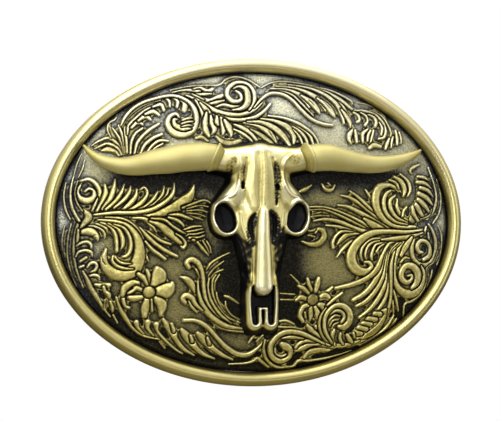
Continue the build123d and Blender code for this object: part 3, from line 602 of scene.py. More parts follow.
        leaf((35, -1.1, .5), (32, -.4, .9), (29.9, 1.4, 1.1), (29.3, 4, 1.1), (30, 6, 1),
             (31.2, 6.8, .6)),
        leaf((35.2, -.6, .4), (32.6, .4, .9), (31.1, 2.3, 1.1), (30.9, 4.4, 1), (32.2, 5.6, .6)),
        leaf((35.4, -.2, .4), (33.6, 1, .8), (32.6, 2.8, 1), (32.7, 4.8, .5)),
        leaf((33.9, .8, .8), (34.2, 2, .8), (35, 2.9, .7)),
        # scalloped leaf on the right
        leaf((36.4, 0, 1.6), (38.2, 2, 2.6), (39.5, 4.6, 2.8), (39.5, 7.4, 2.4), (38.6, 9.8, 1.4),
             top=.5),
        leaf((37.8, -.2, .8), (36.8, 1.4, 1.1), (36.6, 2.9, 1.1)),
        leaf((39.4, .4, .7), (38.3, 2, 1.3), (37.6, 3.5, 1.3)),
        leaf((41, 1.6, .6), (39.7, 3.3, 1.3), (38.2, 4.7, 1.3)),
        leaf((41.8, 3.4, .6), (40.3, 5.1, 1.3), (38.3, 6.1, 1.2)),
        leaf((42, 5.4, .5), (40.6, 6.9, 1.2), (38.8, 7.5, 1.1)),
        leaf((41.6, 7.4, .5), (40, 8.5, 1.1), (38, 8.8, 1)),
        leaf((41.2, 9.2, .4), (39.8, 9.9, 1), (38.2, 10.1, .7), top=.7),
        leaf((39, 13, .5), (37.6, 12.4, .8), (36.4, 11.5, .7), (36.8, 10.7, .4), top=.6),
        leaf((40.2, .2, .6), (42.1, 2.4, .9), (42.9, 5.2, .8), (42.4, 8.6, .6), (41.2, 12.4, .4),
             top=.7),
        leaf((41.8, -.8, .5), (43.6, 1.8, .6), (44.2, 5.4, .5), (43.5, 9.6, .4), top=.5),
        leaf((38.6, .2, .4), (40.8, 1, .5), (41.6, 2.6, .4), top=.6),
        # lower curl
        leaf((28.6, -4.2, .4), (25.9, -4.6, .8), (24, -6, .9), (23.4, -8, .8), (23.8, -9.4, .4)),
        leaf((28.8, -4.8, .4), (26.4, -5.2, .7), (25, -6.4, .8), (24.5, -8.2, .7), (24.9, -9.1, .4)),
        leaf((29, -5.3, .4), (27.2, -5.7, .7), (26.4, -6.9, .8), (26, -8.4, .9), (26.2, -9.3, .5)),
        leaf((29.2, -5.6, .4), (28, -6.3, .6), (27.2, -7.4, .6)),
        leaf((29.8, -5.8, .5), (28.7, -7.2, .7), (28.4, -8.8, .6)),
        leaf((39, -2.4, .7), (35, -2.8, 1), (30, -2.7, 1.1), (26.2, -3.1, 1.4), (23.2, -4.8, 1.8),
             (21.3, -7.4, 2.1), (21.3, -10, 2.2), (23, -11.7, 1.9), (25, -11.8, 1.4), (26, -10.8, 1.1),
             (25.4, -9.8, .9), (24.4, -9.7, .6), top=.95),
    ],
    "right_fronds": [
        # scroll at the edge
        leaf((39.9, -1.6, .6), (39.4, -2.9, .9), (38.5, -3.8, .5)),
        leaf((40.4, -3, .5), (40.6, -4.4, .6)),
        leaf((36.8, -4.2, .8), (36.2, -6.4, 1.1), (36.5, -8.6, 1.1), (38, -10.2, 1.1),
             (40.4, -10.2, 1.1), (42, -8.4, 1.1), (42.4, -5.4, 1), (41.7, -2.8, .9), (40.6, -1, .6),
             top=.75),
        leaf((39.2, -9.2, 1), (40.6, -8.3, 1.2), (40.8, -6.4, 1), (39.9, -5.1, 1), (38.4, -4.9, 1.1),
             (37.5, -6.1, 1.2), (37.9, -7.3, 1.1), (38.9, -7.5, .7), top=.9),
        leaf((43.2, -1.2, .4), (44.1, -4, .5), (43.7, -8.2, .4), (42.8, -10.4, .3), top=.45),
        leaf((41.6, -11.6, .4), (41.2, -13.4, .5), (40.4, -15.4, .3), top=.45),
        leaf((34.5, -22.4, .3), (34.6, -19.5, .5), (36.6, -18.6, .6), (38.8, -17, .5), (40, -14.4, .5),
             (40.1, -11.2, .5), (41.8, -9.8, .5), (43, -7.2, .5), top=.55),
        # large scroll
        leaf((35, -4.4, .8), (33, -6.4, 1.2), (31.7, -9.4, 1.2), (31.6, -12.6, 1.1), (32.6, -15.4, 1.4),
             (34.8, -17, 1.8), (37.2, -16.6, 1.9), (38.8, -14.6, 1.5), (39.2, -12.2, 1.1),
             (38.6, -10.6, .5), top=.85),
        leaf((36.2, -15.7, .9), (37.4, -14.5, 1.5), (37.7, -12.5, 1.8), (36.6, -10.9, 1.6),
             (34.8, -10.6, 1.4), (33.6, -11.9, 1.4), (33.6, -13.5, 1.4), (34.8, -14.4, 1.2),
             (36, -13.8, .9), (36.1, -12.8, .8), (35.1, -12.9, .6), top=.95),
        leaf((35.6, -8.9, .5), (34.4, -8.8, .8), (33.4, -9.8, .6), top=.6),
        # long blades
        leaf((31.6, -16.2, .5), (32.3, -18.4, .8), (33, -20.9, .4)),
        leaf((31, -16.8, .4), (31.5, -19.2, .6), (31.9, -21.8, .3)),
        leaf((32, -6.4, .4), (31, -10, .9), (30.9, -14, 1), (30.9, -18, .9), (30.1, -21.4, .9),
             (28.4, -24.3, .8), (25.6, -26.9, .7), (21.8, -28.6, .5), top=.8),
        leaf((31.9, -21.9, .5), (30.4, -24.3, .8), (27.8, -26.8, .8), (24, -28.7, .5), top=.7),
        leaf((32.7, -22.7, .4), (31.2, -24.9, .6), (28.4, -27.4, .6), (24.5, -29.3, .3), top=.55),
        leaf((33.4, -5.2, .5), (30.8, -7.4, .8), (29.6, -10.4, .9), (29.9, -14.4, .9), (29.8, -17.2, 1),
             (28.7, -19.5, 1), (26.9, -21.4, .7)),
        leaf((33, -5, .5), (30.6, -7, .8), (29.6, -11, .8), (29.3, -14.8, 1.1), (28.1, -17.6, 1.2),
             (25.8, -20.4, 1), (23.2, -22.3, .7)),
        leaf((32, -5, .5), (30, -7, .9), (29.2, -10.4, .9), (28.7, -13.2, 1.2), (27, -16.4, 1.2),
             (24.8, -18.6, 1.1), (22.4, -19.7, .7)),
        leaf((32.6, -4.6, .5), (30.3, -6, .9), (29, -8.6, .9), (27.9, -12, 1.3), (26.4, -14.8, 1.3),
             (24.2, -17, 1.2), (21.6, -18.3, .9)),
        leaf((33.4, -4.6, .5), (30.6, -5.4, .8), (28.8, -8, .9), (27.4, -11.2, 1.3), (25.2, -13.2, 1.2),
             (21.6, -14.7, 1.1), (17.3, -15.6, .8)),
        leaf((39, -3, .6), (35.6, -3.9, 1.1), (32, -4.3, 1.1), (28.6, -4.6, .6), top=.8),
        leaf((36.2, -4, .8), (34.6, -6.2, 1.4), (33.4, -8.2, 1), top=.8),
        # scalloped leaf at the lower end
        leaf((29.8, -20.6, .8), (28.4, -22.4, 2.6), (26.4, -24.4, 3.4), (24.2, -25.9, 2.6),
             (22.4, -26.8, 1), top=.75),
        leaf((28.4, -21.6, 1.2), (27.2, -21.7, 1.5), top=.8),
        leaf((27.4, -22.8, 1.2), (25.6, -22.9, 1.6), top=.8),
        leaf((26.2, -23.9, 1.1), (24.4, -23.9, 1.5), top=.8),
        leaf((25.2, -25, 1.1), (23.4, -24.8, 1.5), top=.8),
        leaf((24, -26, 1), (22.4, -25.9, 1.5), top=.8),
        cut((29.4, -21.6, .2), (27.4, -24.2, .35), (24.2, -26.4, .2)),
    ],
    "left_flower": [
        leaf((-31.2, -16.2, .8), (-31, -17.8, .9), (-30.6, -18.9, .8), (-29.8, -19.3, .8), top=.8),
        leaf((-27.9, -13.9, 1.2), (-29.2, -13.8, 1.4), (-30.7, -14.8, 1.5), (-31.2, -16.4, 1), top=.8),
        leaf((-27, -15.4, .9), (-28.2, -14.9, 1.1), (-28.8, -15.4, .9), (-29.9, -16.1, .9)),
        leaf((-27, -17, 1.1), (-28.6, -17.2, 1.4), (-29.8, -17, 1)),
        leaf((-25.7, -14.2, .9), (-26.4, -12.9, 1.3), (-27.8, -11.8, 1)),
        leaf((-25, -14, .8), (-25.4, -12.4, 1), (-25.9, -11, .8)),
        leaf((-24.3, -14.4, 1.6), (-23.2, -12.5, 2.9), (-23.6, -10.8, 1.4), top=.95),
        leaf((-23.9, -15.8, 1.6), (-21.8, -15.7, 2.9), (-20.5, -14.7, 1.6), (-20.3, -14, 1), top=.95),
        leaf((-24, -17.4, 1.3), (-22.6, -18.7, 2.1), (-22.7, -20.9, 1), top=.9),
        leaf((-24.9, -17.6, .8), (-24.7, -20, .8), top=.7),
        leaf((-25.9, -17.4, 1.2), (-26.2, -19.5, 1.7), (-26.3, -21.1, 1.2), top=.9),
        leaf((-25.5, -15.9, 2.3), (-25.3, -15.9, 2.3), top=.7),
    ],
    "lower_left_spray": [
        leaf((-32.6, -16.9, .5), (-31.8, -19.2, .8), (-30.4, -21.6, .9), (-28.8, -23.9, .7),
             (-26.4, -25.6, .5), (-22.8, -26.5, .3), top=.65),
        leaf((-28.1, -22.6, 1.2), (-27.7, -23.8, .8), (-26.4, -25.2, .4)),
        leaf((-25.6, -22.6, 1.4), (-25.5, -24, .9), (-24.2, -25.6, .4)),
        leaf((-23.7, -23.2, 1.4), (-23.4, -24.6, .7), (-21.6, -26.7, .7), (-19.2, -28.8, .5),
             (-17.6, -29.8, .3)),
        leaf((-22.9, -26.9, .3), (-21.6, -28.4, .5), top=.45),
        leaf((-22.2, -22, .8), (-21.3, -23.4, 1.3), (-20, -24.8, 1.6), (-19.2, -26.6, 1.1),
             (-17.4, -28.7, .9), (-15, -30.2, .4)),
        leaf((-20.3, -23.1, .8), (-19.8, -24.6, 1)),
        leaf((-18, -24.4, .9), (-17.2, -25.5, 1.6), (-15.9, -27, 1.6), (-14.6, -28.6, 1.1),
             (-12.8, -30, .9), (-10.4, -31, .4)),
        leaf((-16, -25.8, .8), (-15.6, -27, 1)),
        leaf((-14.4, -25.2, .9), (-13.5, -26.2, 1.6), (-12.2, -27.4, 1.6), (-10.8, -28.7, 1.1),
             (-8.6, -30.2, .9), (-6.2, -31.3, .4)),
        leaf((-12.2, -26.4, .8), (-11.7, -27.6, 1)),
        leaf((-17.6, -22.3, .9), (-15, -22.4, .9), (-12.6, -23.6, 1), (-10.4, -25.9, 1),
             (-8.2, -28.2, 1.1), (-5.6, -29.9, 1.1), (-3, -30.2, 1), (-1, -29.1, .9), (.6, -27.4, .6),
             top=.95),
    ],
    "lower_leaf_fan": [
        leaf((-12.6, -11.2, .5), (-11.6, -9.7, .7), (-9.6, -8.4, .5), (-7.2, -7.3, .3), top=.55),
        leaf((-12.2, -12.6, .5), (-10.9, -10.9, .6), (-8.6, -9.2, .3), top=.5),
        leaf((-12, -13.8, .5), (-10.6, -11.9, .6), (-8.8, -11.1, .4), top=.55),
        leaf((-8.4, -17, .5), (-7.2, -17.4, .7), (-5.2, -18.7, .4), top=.5),
        leaf((-4.8, -22.4, .3), (-6.9, -21.2, .5), (-8, -19.6, .5), (-8.2, -18.2, .3), top=.5),
        leaf((-4.4, -23.2, .3), (-6.8, -22.2, .6), (-8.9, -20.2, .7), (-10, -17.8, .6),
             (-10.3, -16.2, .4), top=.65),
        leaf((-10.8, -15.8, .4), (-10.6, -13.8, .6), (-9.6, -12.2, .4), top=.55),
        leaf((-5.6, -22.8, .3), (-8.4, -21.4, .8), (-10.4, -18.8, .8), (-11.2, -16.2, .7),
             (-11.2, -13.6, .6), (-10.4, -12.2, .4), top=.75),
        leaf((-6.8, -23.2, .4), (-9.6, -21, .9), (-11.5, -18.2, .9), (-12.3, -15.4, .8), (-12, -13, .5),
             top=.85),
        leaf((-13, -14.4, .6), (-14, -12.4, .8), (-15, -10.9, .5), top=.8),
        leaf((-8.4, -23.3, .5), (-10.9, -21, 1), (-12.6, -18.2, 1), (-13.2, -15.2, 1),
             (-13.3, -13.2, 1), (-13.7, -11.2, 1.1), (-14.6, -9.5, 1.3), (-16, -8.8, 1.3),
             (-17, -9.5, 1.2), (-16.5, -10.5, 1), top=.95),
        leaf((-2, -25.1, .3), (-6, -24.9, .6), (-9.6, -23.9, .7), (-10.6, -23, .3), top=.55),
        leaf((-4, -24.4, .5), (-8, -23.7, 1.1), (-11.2, -21.7, 1.2), (-13.4, -18.9, 1.1),
             (-14.4, -15.9, .8), (-14.5, -13.6, .4)),
        leaf((-14.6, -20.6, .4), (-15.9, -19.2, .8), (-16.5, -18, .6)),
        leaf((-13.4, -20.2, .5), (-15, -18.8, 1), (-15.8, -17.4, 1.2), (-17.1, -16.8, 1.3),
             (-17.9, -17.5, 1.2), (-17.3, -18.4, .9)),
        leaf((-15.2, -16.2, .4), (-15.9, -14.4, 1.4), (-17, -13.2, 1.3), (-18.4, -12.6, .5)),
    ],
    "right_flower": [
        leaf((4.4, -16.6, .3), (7.8, -16.9, .4), top=.3),
        leaf((4.4, -18, .3), (7.6, -18.1, .4), top=.3),
        leaf((6.8, -12.4, .3), (8.9, -14.6, .5), (9.5, -16.6, .3), top=.4),
        leaf((11.6, -16, .9), (11, -14.6, 1), (10.7, -13.4, .8)),
        leaf((12.6, -16.2, 1), (13, -14.6, 1.3), (13.3, -13.4, 1)),
        leaf((14, -17.2, .8), (15.6, -16.2, .9), (16.6, -15.4, .7), top=.75),
        leaf((10.9, -16.6, .9), (9.8, -15.6, 1.1), (8.6, -15, .7), top=.75),
        leaf((10.6, -18, 1), (9.2, -17.6, 1.2), (8, -18.2, .8), top=.7),
        leaf((13.4, -17.9, 1.2), (15, -17.4, 1.6), (16.4, -18.6, .8)),
        cut((13.8, -18, .2), (14.8, -17.8, .3), (15.8, -18.2, .2)),
        leaf((13.2, -19.2, 1.1), (14.6, -19.8, 1.5), (14.9, -21.4, .8)),
        leaf((12.4, -19.9, 1.2), (13.1, -21.4, 1.5), (13.4, -22.8, .7)),
        leaf((11.4, -19.8, 1), (11.6, -21.4, 1.2), (11.4, -22.8, .6), top=.75),
        leaf((10.9, -19.3, 1), (9.6, -19.9, 1.2), (9, -21.6, 1.1), (9.8, -23, .8)),
        leaf((10.2, -21, .7), (10.4, -22.2, .7), top=.6),
        leaf((12.1, -18, 2.2), (11.9, -18.2, 2.2), top=.5),
        leaf((4, -22.9, .5), (5.8, -22.8, .7), (7.8, -23.6, .4), top=.6),
        leaf((10.8, -23.9, .8), (11.6, -24.8, 1.2), (13.2, -26.4, 1.3), (15, -27.8, .8)),
        leaf((12.8, -24.2, .9), (12.9, -24.5, .9)),
    ],
    "lower_right_scroll": [
        leaf((15, -19.8, .5), (16.6, -18.4, .9), (18.9, -16.7, .8)),
        leaf((13.6, -28.8, .8), (17, -28.7, 1), (21, -28.4, .9), (23.6, -27.6, .5), top=.7),
        leaf((22.3, -26.8, .7), (22, -25.9, .8)),
        leaf((21.8, -28, .7), (21.1, -27.2, 1.2), (20.5, -26.3, .9)),
        leaf((19.6, -28.3, .7), (18.8, -27.2, .9), (18.8, -25.9, .8)),
        leaf((17.6, -28.5, .6), (16.8, -27, 1.1), (17.1, -25.2, 1.1)),
        leaf((17, -28.5, .4), (14.8, -26.8, .7), (13.7, -24.4, .8), (13.9, -22, .8), (15.2, -20, .5),
             top=.75),
        leaf((18.6, -21.9, .4), (17.3, -21.8, .6), (16, -22.9, .6), (15.7, -24.4, .3), top=.75),
        leaf((18.2, -22.7, .4), (16.9, -22.9, .6), (16.1, -24.2, .5), top=.75),
        leaf((18.2, -23.4, .4), (17.2, -23.8, .5), (16.6, -24.9, .4), top=.75),
        leaf((19, -23.3, .9), (19.6, -22.2, 1), (19, -21, .9), (17.4, -20.7, .8), (15.8, -21.7, .5)),
        leaf((16.9, -28, .6), (15.2, -25.6, 1), (14.8, -23.2, 1), (15.4, -21.2, 1.1),
             (17.2, -19.6, 1.1), (19.3, -19.7, 1.3), (20.8, -21.2, 1.5), (20.8, -23.2, 1.5),
             (19.6, -24.4, 1.4), (18.3, -24.3, .9), top=.95),
    ],
    "bottom_scroll": [
        leaf((-7, -32.3, .3), (-3.4, -32.2, .5), (-1.4, -31.7, .7), (-.5, -31.1, .7), (.5, -31.9, .7),
             (2.2, -33.2, .5), top=.55),
        leaf((-2.7, -27.6, .5), (-1.9, -26.4, .6), (-.8, -25.4, .4), top=.6),
        leaf((-.9, -27.3, .5), (.1, -26.3, .6), (.9, -25.5, .4), top=.6),
        leaf((1, -27, .6), (.8, -29, .8), (1.6, -31.4, .8), (3.6, -33, .7), (5.8, -33.5, .7),
             (7.8, -33.3, .7), (9.2, -31.9, .8), (12, -31.9, .6), (18, -31, .5), (23, -29.6, .3),
             top=.65),
        leaf((3.8, -24.1, .5), (8, -24.6, .8), (11, -25.9, .8), (14, -27.6, .8), (16.4, -28.6, .6),
             top=.75),
        leaf((10.4, -31.2, .8), (11.6, -30, 1.2), (14, -29.5, 1.1), (16.4, -29.6, .6), top=.75),
        leaf((8.2, -29.4, .8), (9.9, -29, 1.2), (11.8, -28.2, 1.1), (14, -28.3, .6)),
        leaf((8.2, -28.9, .8), (9, -28, .9), (10.8, -27.4, .9), (13, -27.7, .5)),
        leaf((5, -26.7, .5), (7.2, -26.5, .9), (10, -26.9, .5)),
        leaf((3.4, -29, .5), (3.6, -30.3, .8), (4.9, -30.9, .9), (6, -30.4, .6)),
        leaf((15, -28.2, .5), (12.4, -26.9, .9), (9.2, -25.6, 1.1), (6, -25.3, 1.2), (3.6, -26.4, 1.3),
             (2.3, -28.6, 1.3), (2.8, -30.8, 1.2), (4.8, -31.9, 1.2), (6.7, -31.1, 1.1),
             (7, -29.6, 1.3), (6, -28.6, 1.6), (4.9, -28, 1.1), top=.95),
    ],
}


WIDEN = 1.24                     # the leaves stand close together
BED = 0.34                       # height of the web between neighbouring leaves
SHOULDER = 0.45                  # width of a stroke's rounded flank
BORDER = 0.985                   # share of the field beyond which the relief dips under the rim


def paint_relief():
    """Paints every spray into one height field, later strokes over earlier ones."""
    nx, nz = (2 * int((half + 0.4) / STEP) + 1 for half in (FIELD_W, FIELD_H))
    xs = (np.arange(nx) - nx // 2) * STEP
    zs = (np.arange(nz) - nz // 2) * STEP
    height = np.full((nz, nx), BARE)
    owner = np.full((nz, nx), -1)
    for n, strokes in enumerate(RELIEF.values()):
        for kind, points, amount in strokes:
            swell = WIDEN if kind == "leaf" else 1.0
            points = [(x, z, w * swell) for x, z, w in points]
            window, edge, radius, centre = stroke_distance(xs, zs, points, SHOULDER)
            h, own = height[window], owner[window]
            inside = edge <= 0
            if kind == "cut":
                h[inside] -= amount * (1 - (centre[inside] / radius[inside]) ** 2)
                continue
            k = np.clip(-edge / np.minimum(radius, SHOULDER), 0, 1)
            crown = 0.70 + 0.30 * (1 - np.clip(centre / radius, 0, 1) ** 2)
            rise = amount * np.clip(0.6 + 0.4 * radius / 0.42, 0, 1) * (1 - (1 - k) ** 2.4) * crown
            bare = h < 0
            h[inside] = rise[inside]
            own[inside] = n
            skirt = (edge > 0) & (edge < 0.4)
            h[skirt & bare] = np.maximum(h, -4.5 * edge)[skirt & bare]
            groove = (edge > 0) & (edge < 0.2) & ~bare
            h[groove] = np.minimum(h, 0.05 + 4.0 * edge)[groove]
    return xs, zs, height, owner


def left_painted_shade(x, z):
    """Share of painted shade over the left side's leaves, beside the skull."""
    return np.exp(-((x + 19) / 8) ** 2 - ((z + 1) / 9) ** 2)


def spread_owner(owner, rounds):
    """Lets every spray take the cells around it."""
    for _ in range(rounds):
        for axis, shift in ((0, 1), (0, -1), (1, 1), (1, -1)):
            near = np.roll(owner, shift, axis)
            owner = np.where(owner < 0, near, owner)
    return owner


def relief_pieces():
    """One closed mesh for each spray, all cut from the same height field."""
    xs, zs, height, owner = paint_relief()
    solid = (owner >= 0).astype(float)
    web = blur(solid, 0.60 / STEP) > 0.46
    between = BED * np.clip(1.3 - 2.3 * blur(solid, 0.14 / STEP), 0.1, 1)
    height = np.where(web, np.maximum(height, between), height)
    owner = spread_owner(owner, 9)
    x, z = np.meshgrid(xs, zs)
    share = np.sqrt((x / FIELD_W) ** 2 + (z / FIELD_H) ** 2)
    dip = 0.25 - 22 * (share - BORDER)
    height = np.where(share > BORDER, np.minimum(height, dip), height)
    height = 0.6 * height + 0.4 * blur(height, 0.8)
    near = blur(height, 0.42 / STEP)
    tone = 0.36 + 1.15 * (height - near) + 0.34 * np.clip(height, 0, 1)
    # painted shade over the left side's leaves beside the skull
    tone -= 0.12 * left_painted_shade(x, z)
    # painted shade on the leaves beside the raised skull and on the side slopes at both ends
    beside_skull = np.clip(1.3 - np.hypot(x / 17, (z + 4) / 15), 0, 1)
    outer = np.clip((np.abs(x) - 36) / 6, 0, 1)
    tone -= 0.22 * beside_skull + 0.16 * outer
    level = dome_level(x, z)
    top, bottom = level + height, level - ROOT
    corner = np.maximum.reduce([height[:-1, :-1], height[1:, :-1], height[:-1, 1:], height[1:, 1:]])
    inside = share[:-1, :-1] < 0.998
    for n, name in enumerate(RELIEF):
        cells = (owner[:-1, :-1] == n) & (corner > -0.28) & inside
        points, faces, walls, shades = block(cells, xs, zs, top, bottom, tone)
        make_piece("relief_" + name, name, points, faces, relief_metal, shades, walls)
    return xs, zs, height


def ground_piece(xs, zs, height):
    """The domed plate: front and back are rings round the middle; dark patina and painted shade gather
    beside the leaves.
    """
    rings, segments, back_rings = 120, 512, 24
    turn = 2 * np.pi * np.arange(segments) / segments
    cover = blur((height > -0.05).astype(float), 0.9 / STEP)
    tight = blur((height > -0.05).astype(float), 0.35 / STEP)
    pebble = np.random.default_rng(7)
    points, shades = [(0.0, DOME_LEVEL, 0.0)], [0.1]
    for share in np.arange(1, rings + 1) / rings:
        x, z = share * FIELD_W * np.cos(turn), share * FIELD_H * np.sin(turn)
        i = np.clip(((x - xs[0]) / STEP).round().astype(int), 0, len(xs) - 1)
        j = np.clip(((z - zs[0]) / STEP).round().astype(int), 0, len(zs) - 1)
        edge = np.clip((share - 0.975) / 0.025, 0, 1)
        side = np.clip((np.abs(x) - 34) / 7, 0, 1)
        across, along = np.maximum(np.abs(x) - 6, 0) / 4.5, np.maximum(np.abs(z + 4) - 17, 0) / 4
        # painted shadow of the skull and the horns on the ground
        skull = np.exp(-(across ** 2 + along ** 2))
        horn = np.exp(-((z - 9.6) / 2.9) ** 2) * np.clip((36 - np.abs(x)) / 6, 0, 1)
        # painted shade: darker on the side slopes, beside the leaves (where dark patina also gathers), in
        # the crease at the rim, and under the skull and horns as painted shadow
        tone = 0.92 - 0.14 * side - 0.58 * cover[j, i] - 0.75 * tight[j, i]
        tone = tone - 0.9 * edge - 1.1 * skull - 1.0 * horn
        # painted shade over the ground on the left beside the skull
        tone -= 0.4 * left_painted_shade(x, z)
        # painted shade on the lower slope next to the rim
        tone -= 0.6 * np.clip((share - 0.82) / 0.12, 0, 1) * np.clip((-z - 5) / 8, 0, 1)
        level = dome_level(x, z) + 0.02 * pebble.uniform(-1, 1, segments) * (1 - edge)
        points.extend(zip(x, level, z))
        shades.extend(np.clip(tone, 0.02, 1))
    for share in np.linspace(1, 1 / back_rings, back_rings):
        x, z = share * FIELD_W * np.cos(turn), share * FIELD_H * np.sin(turn)
        points.extend(zip(x, np.maximum(dome_level(x, z, PLATE_THICKNESS), 0.0), z))
        shades.extend(np.full(segments, 0.55))
    points.append((0.0, DOME_LEVEL - PLATE_THICKNESS, 0.0))
    shades.append(0.55)
    faces = []
    total = rings + back_rings
    for s in range(segments):
        after = (s + 1) % segments
        faces.append((0, 1 + s, 1 + after))
        for r in range(total - 1):
            a = 1 + r * segments
            b = a + segments
            faces.append((a + s, b + s, b + after, a + after))
        last = 1 + (total - 1) * segments
        faces.append((last + s, len(points) - 1, last + after))
    make_piece("ground_plate", "base_plate", points, faces, ground_metal, shades)


# ---------------------------------------------------------------- rim
# (distance in from the outer edge, level, tone)
RIM_SECTION = [
    (3.28, 0.0, 0.3), (2.0, 0.0, 0.5), (0.7, 0.0, 0.5), (0.25, 0.15, 0.5), (0.0, 0.6, 0.45),
    (0.0, 1.3, 0.42), (0.10, 2.0, 0.45), (0.35, 2.6, 0.6), (0.8, 3.08, 0.8), (1.35, 3.34, 1.0),
    (1.9, 3.36, 1.0), (2.4, 3.12, 0.85), (2.8, 2.68, 0.65), (3.05, 2.1, 0.4), (3.2, 1.6, 0.1),
    (3.28, 1.0, 0.0),
]


def rim_piece():
    """Sweeps the section round the oval; its flat back keeps straight edges."""
    section = np.vstack([RIM_SECTION[:5], curve_through(RIM_SECTION[5:], 3)])
    segments = 420
    turn = 2 * np.pi * np.arange(segments) / segments
    across, up = np.cos(turn), np.sin(turn)
    normal = np.stack([across * HEIGHT, up * WIDTH], 1)
    normal /= np.linalg.norm(normal, axis=1)[:, None]
    rows, shades = [], []
    for inward, level, tone in section:
        x = WIDTH / 2 * across - normal[:, 0] * inward
        z = HEIGHT / 2 * up - normal[:, 1] * inward
        rows.extend(zip(x, np.full(segments, level), z))
        # painted shade along the left of the rim and a painted highlight along its top
        shades.extend(tone - 0.16 * np.clip(-across - 0.2, 0, 1) + 0.12 * np.clip(up - 0.3, 0, 1))
    faces = []
    count = len(section)
    for k in range(count):
        a, b = k * segments, (k + 1) % count * segments
        for s in range(segments):
            after = (s + 1) % segments
            faces.append((a + s, a + after, b + after, b + s))
    make_piece("rim_ring", "rim", rows, faces, rim_metal, shades)


# ---------------------------------------------------------------- skull
SKULL_STEP = 0.15
SKULL_SHIFT = -0.3               # the skull sits this far to the left of the middle
ORBIT_FLOOR, NOSTRIL_FLOOR, NOTCH_FLOOR = 7.3, 6.9, 7.4      # levels that the openings sink to
# masses: (x, z, width) strokes, (level at the start, level at the end), how far the side falls
MIDDLE_MASSES = [
    ([(0, 11.4, 11.0), (0, 9.0, 13.8), (0, 5.0, 13.8), (0, 1.0, 13.0), (0, -3.5, 11.8), (0, -8.5, 9.6),
      (0, -13, 7.6), (0, -15, 6.6)], (11.2, 9.9), 2.1),
    ([(-1.8, 14.9, 3.8), (0, 15.4, 3.8), (1.8, 14.9, 3.8)], (10.9, 10.9), 2.2),
]
# masses on both sides: the horn's root, the eye's rim, the brow and half of the muzzle
SIDE_MASSES = [
    ([(2, 13.4, 6.6), (5.6, 13.2, 6.0), (8.2, 13.4, 5.3), (10.6, 13.9, 5.2)], (11.0, 10.8), 1.7),
    ([(7.9, -0.5, 6.5), (9.0, 2.2, 4.1)], (9.9, 10.1), 0.9),
    ([(4.6, 7.0, 4.8), (7.8, 3.4, 4.4)], (10.9, 10.5), 1.0),
    ([(1.75, -13.5, 3.4), (1.75, -18, 3.4), (1.7, -23.0, 3.2)], (10.0, 9.3), 0.4),
]
# details: (points, height added, softness of the edge)
SKULL_DETAILS = [
    ([(0.3, 16.0, 1.4), (0.4, 10, 1.7), (0.3, 4, 2.2), (0.1, 1, 2.4)], 0.42, 1.0),
    ([(-1.8, 14.8, 1.6), (-2.0, 10, 2.2), (-2.4, 6, 3.2), (-1.8, 3, 3.0)], 0.22, 1.1),
    ([(-5.0, 14.0, 1.0), (-5.0, 11, 1.1), (-5.4, 8.0, 1.2), (-6.4, 5.6, 1.2), (-8.6, 4.7, 0.8)], 0.34, 0.6),
    ([(6.8, 14.4, 1.0), (5.2, 12.8, 1.2), (4.9, 10.5, 1.2), (5.2, 7.8, 1.2), (6.6, 5.4, 1.2),
      (8.6, 4.8, 0.8)], 0.42, 0.6),
    ([(-3.5, 13.6, 0.8), (-3.8, 11.0, 1.1), (-4.1, 8.6, 0.9)], -0.42, 0.5),
    ([(2.4, 13.6, 1.0), (3.0, 10.6, 1.5), (3.3, 7.0, 1.4), (3.2, 3.0, 0.9)], -0.40, 0.6),
    ([(3.0, 11.4, 0.5), (3.2, 10.6, 0.5)], -0.4, 0.25),
    ([(3.4, 4.6, 0.45), (3.3, 3.2, 0.45)], -0.5, 0.2),
    ([(-4.4, 8.1, 0.9), (-4.5, 7.0, 0.8)], -1.4, 0.35),
    ([(3.5, 7.5, 0.8), (3.6, 6.8, 0.8)], -1.3, 0.35),
    ([(-1.8, 1.2, 0.8), (-2.7, -0.4, 1.5), (-2.7, -2.6, 1.5), (-2.2, -5.0, 0.6)], -0.85, 0.7),
    ([(1.9, 1.4, 0.8), (2.7, -0.2, 1.5), (2.8, -2.4, 1.5), (2.3, -4.8, 0.6)], -0.85, 0.7),
    ([(-5.0, 1.6, 0.8), (-4.6, -1.6, 1.0), (-3.6, -4.8, 1.0), (-2.9, -8.0, 0.7)], 0.30, 0.5),
    ([(5.0, 1.6, 0.8), (4.6, -1.6, 1.0), (3.7, -4.8, 1.0), (3.0, -8.0, 0.7)], 0.30, 0.5),
    ([(-5.2, -4.4, 0.5), (-4.3, -6.6, 0.6), (-3.8, -9.2, 0.5)], -0.35, 0.3),
    ([(-3.9, -10.0, 0.6), (-3.9, -11.8, 1.1), (-3.5, -13.2, 0.6)], -0.9, 0.4),
    ([(3.8, -9.6, 0.6), (3.7, -11.8, 1.1), (3.4, -13.2, 0.6)], -0.9, 0.4),
    ([(-2.8, -9.0, 0.6), (-2.7, -11.6, 0.7), (-3.0, -14.6, 0.6)], 0.30, 0.3),
    ([(2.8, -9.0, 0.6), (2.7, -11.6, 0.7), (3.0, -14.6, 0.6)], 0.30, 0.3),
]
NASAL_BONE = [
    (0.2, 1.6, 2.9), (0.1, -0.6, 3.4), (0.0, -4, 3.6), (0.0, -8, 4.0), (0.0, -12, 4.3), (0.0, -15.0, 4.6),
]
ORBIT = [(7.9, -0.9, 4.5), (8.4, 0.6, 4.9), (8.8, 2.0, 3.7)]
NOSTRIL = [(2.0, -15.4, 1.3), (1.95, -17.4, 1.8), (1.9, -20, 1.85), (1.8, -23.0, 1.6)]
NOSTRIL_LINK = [(-1.25, -18.4, 2.9), (1.25, -18.4, 2.9)]
MUZZLE_NOTCH = [(0, -20.6, 0.9), (0, -22.0, 0.8), (0, -23.6, 0.4)]
STAIN_AND_HIGHLIGHT_SPREAD = 1.7               # stains and painted highlights are this much wider than listed
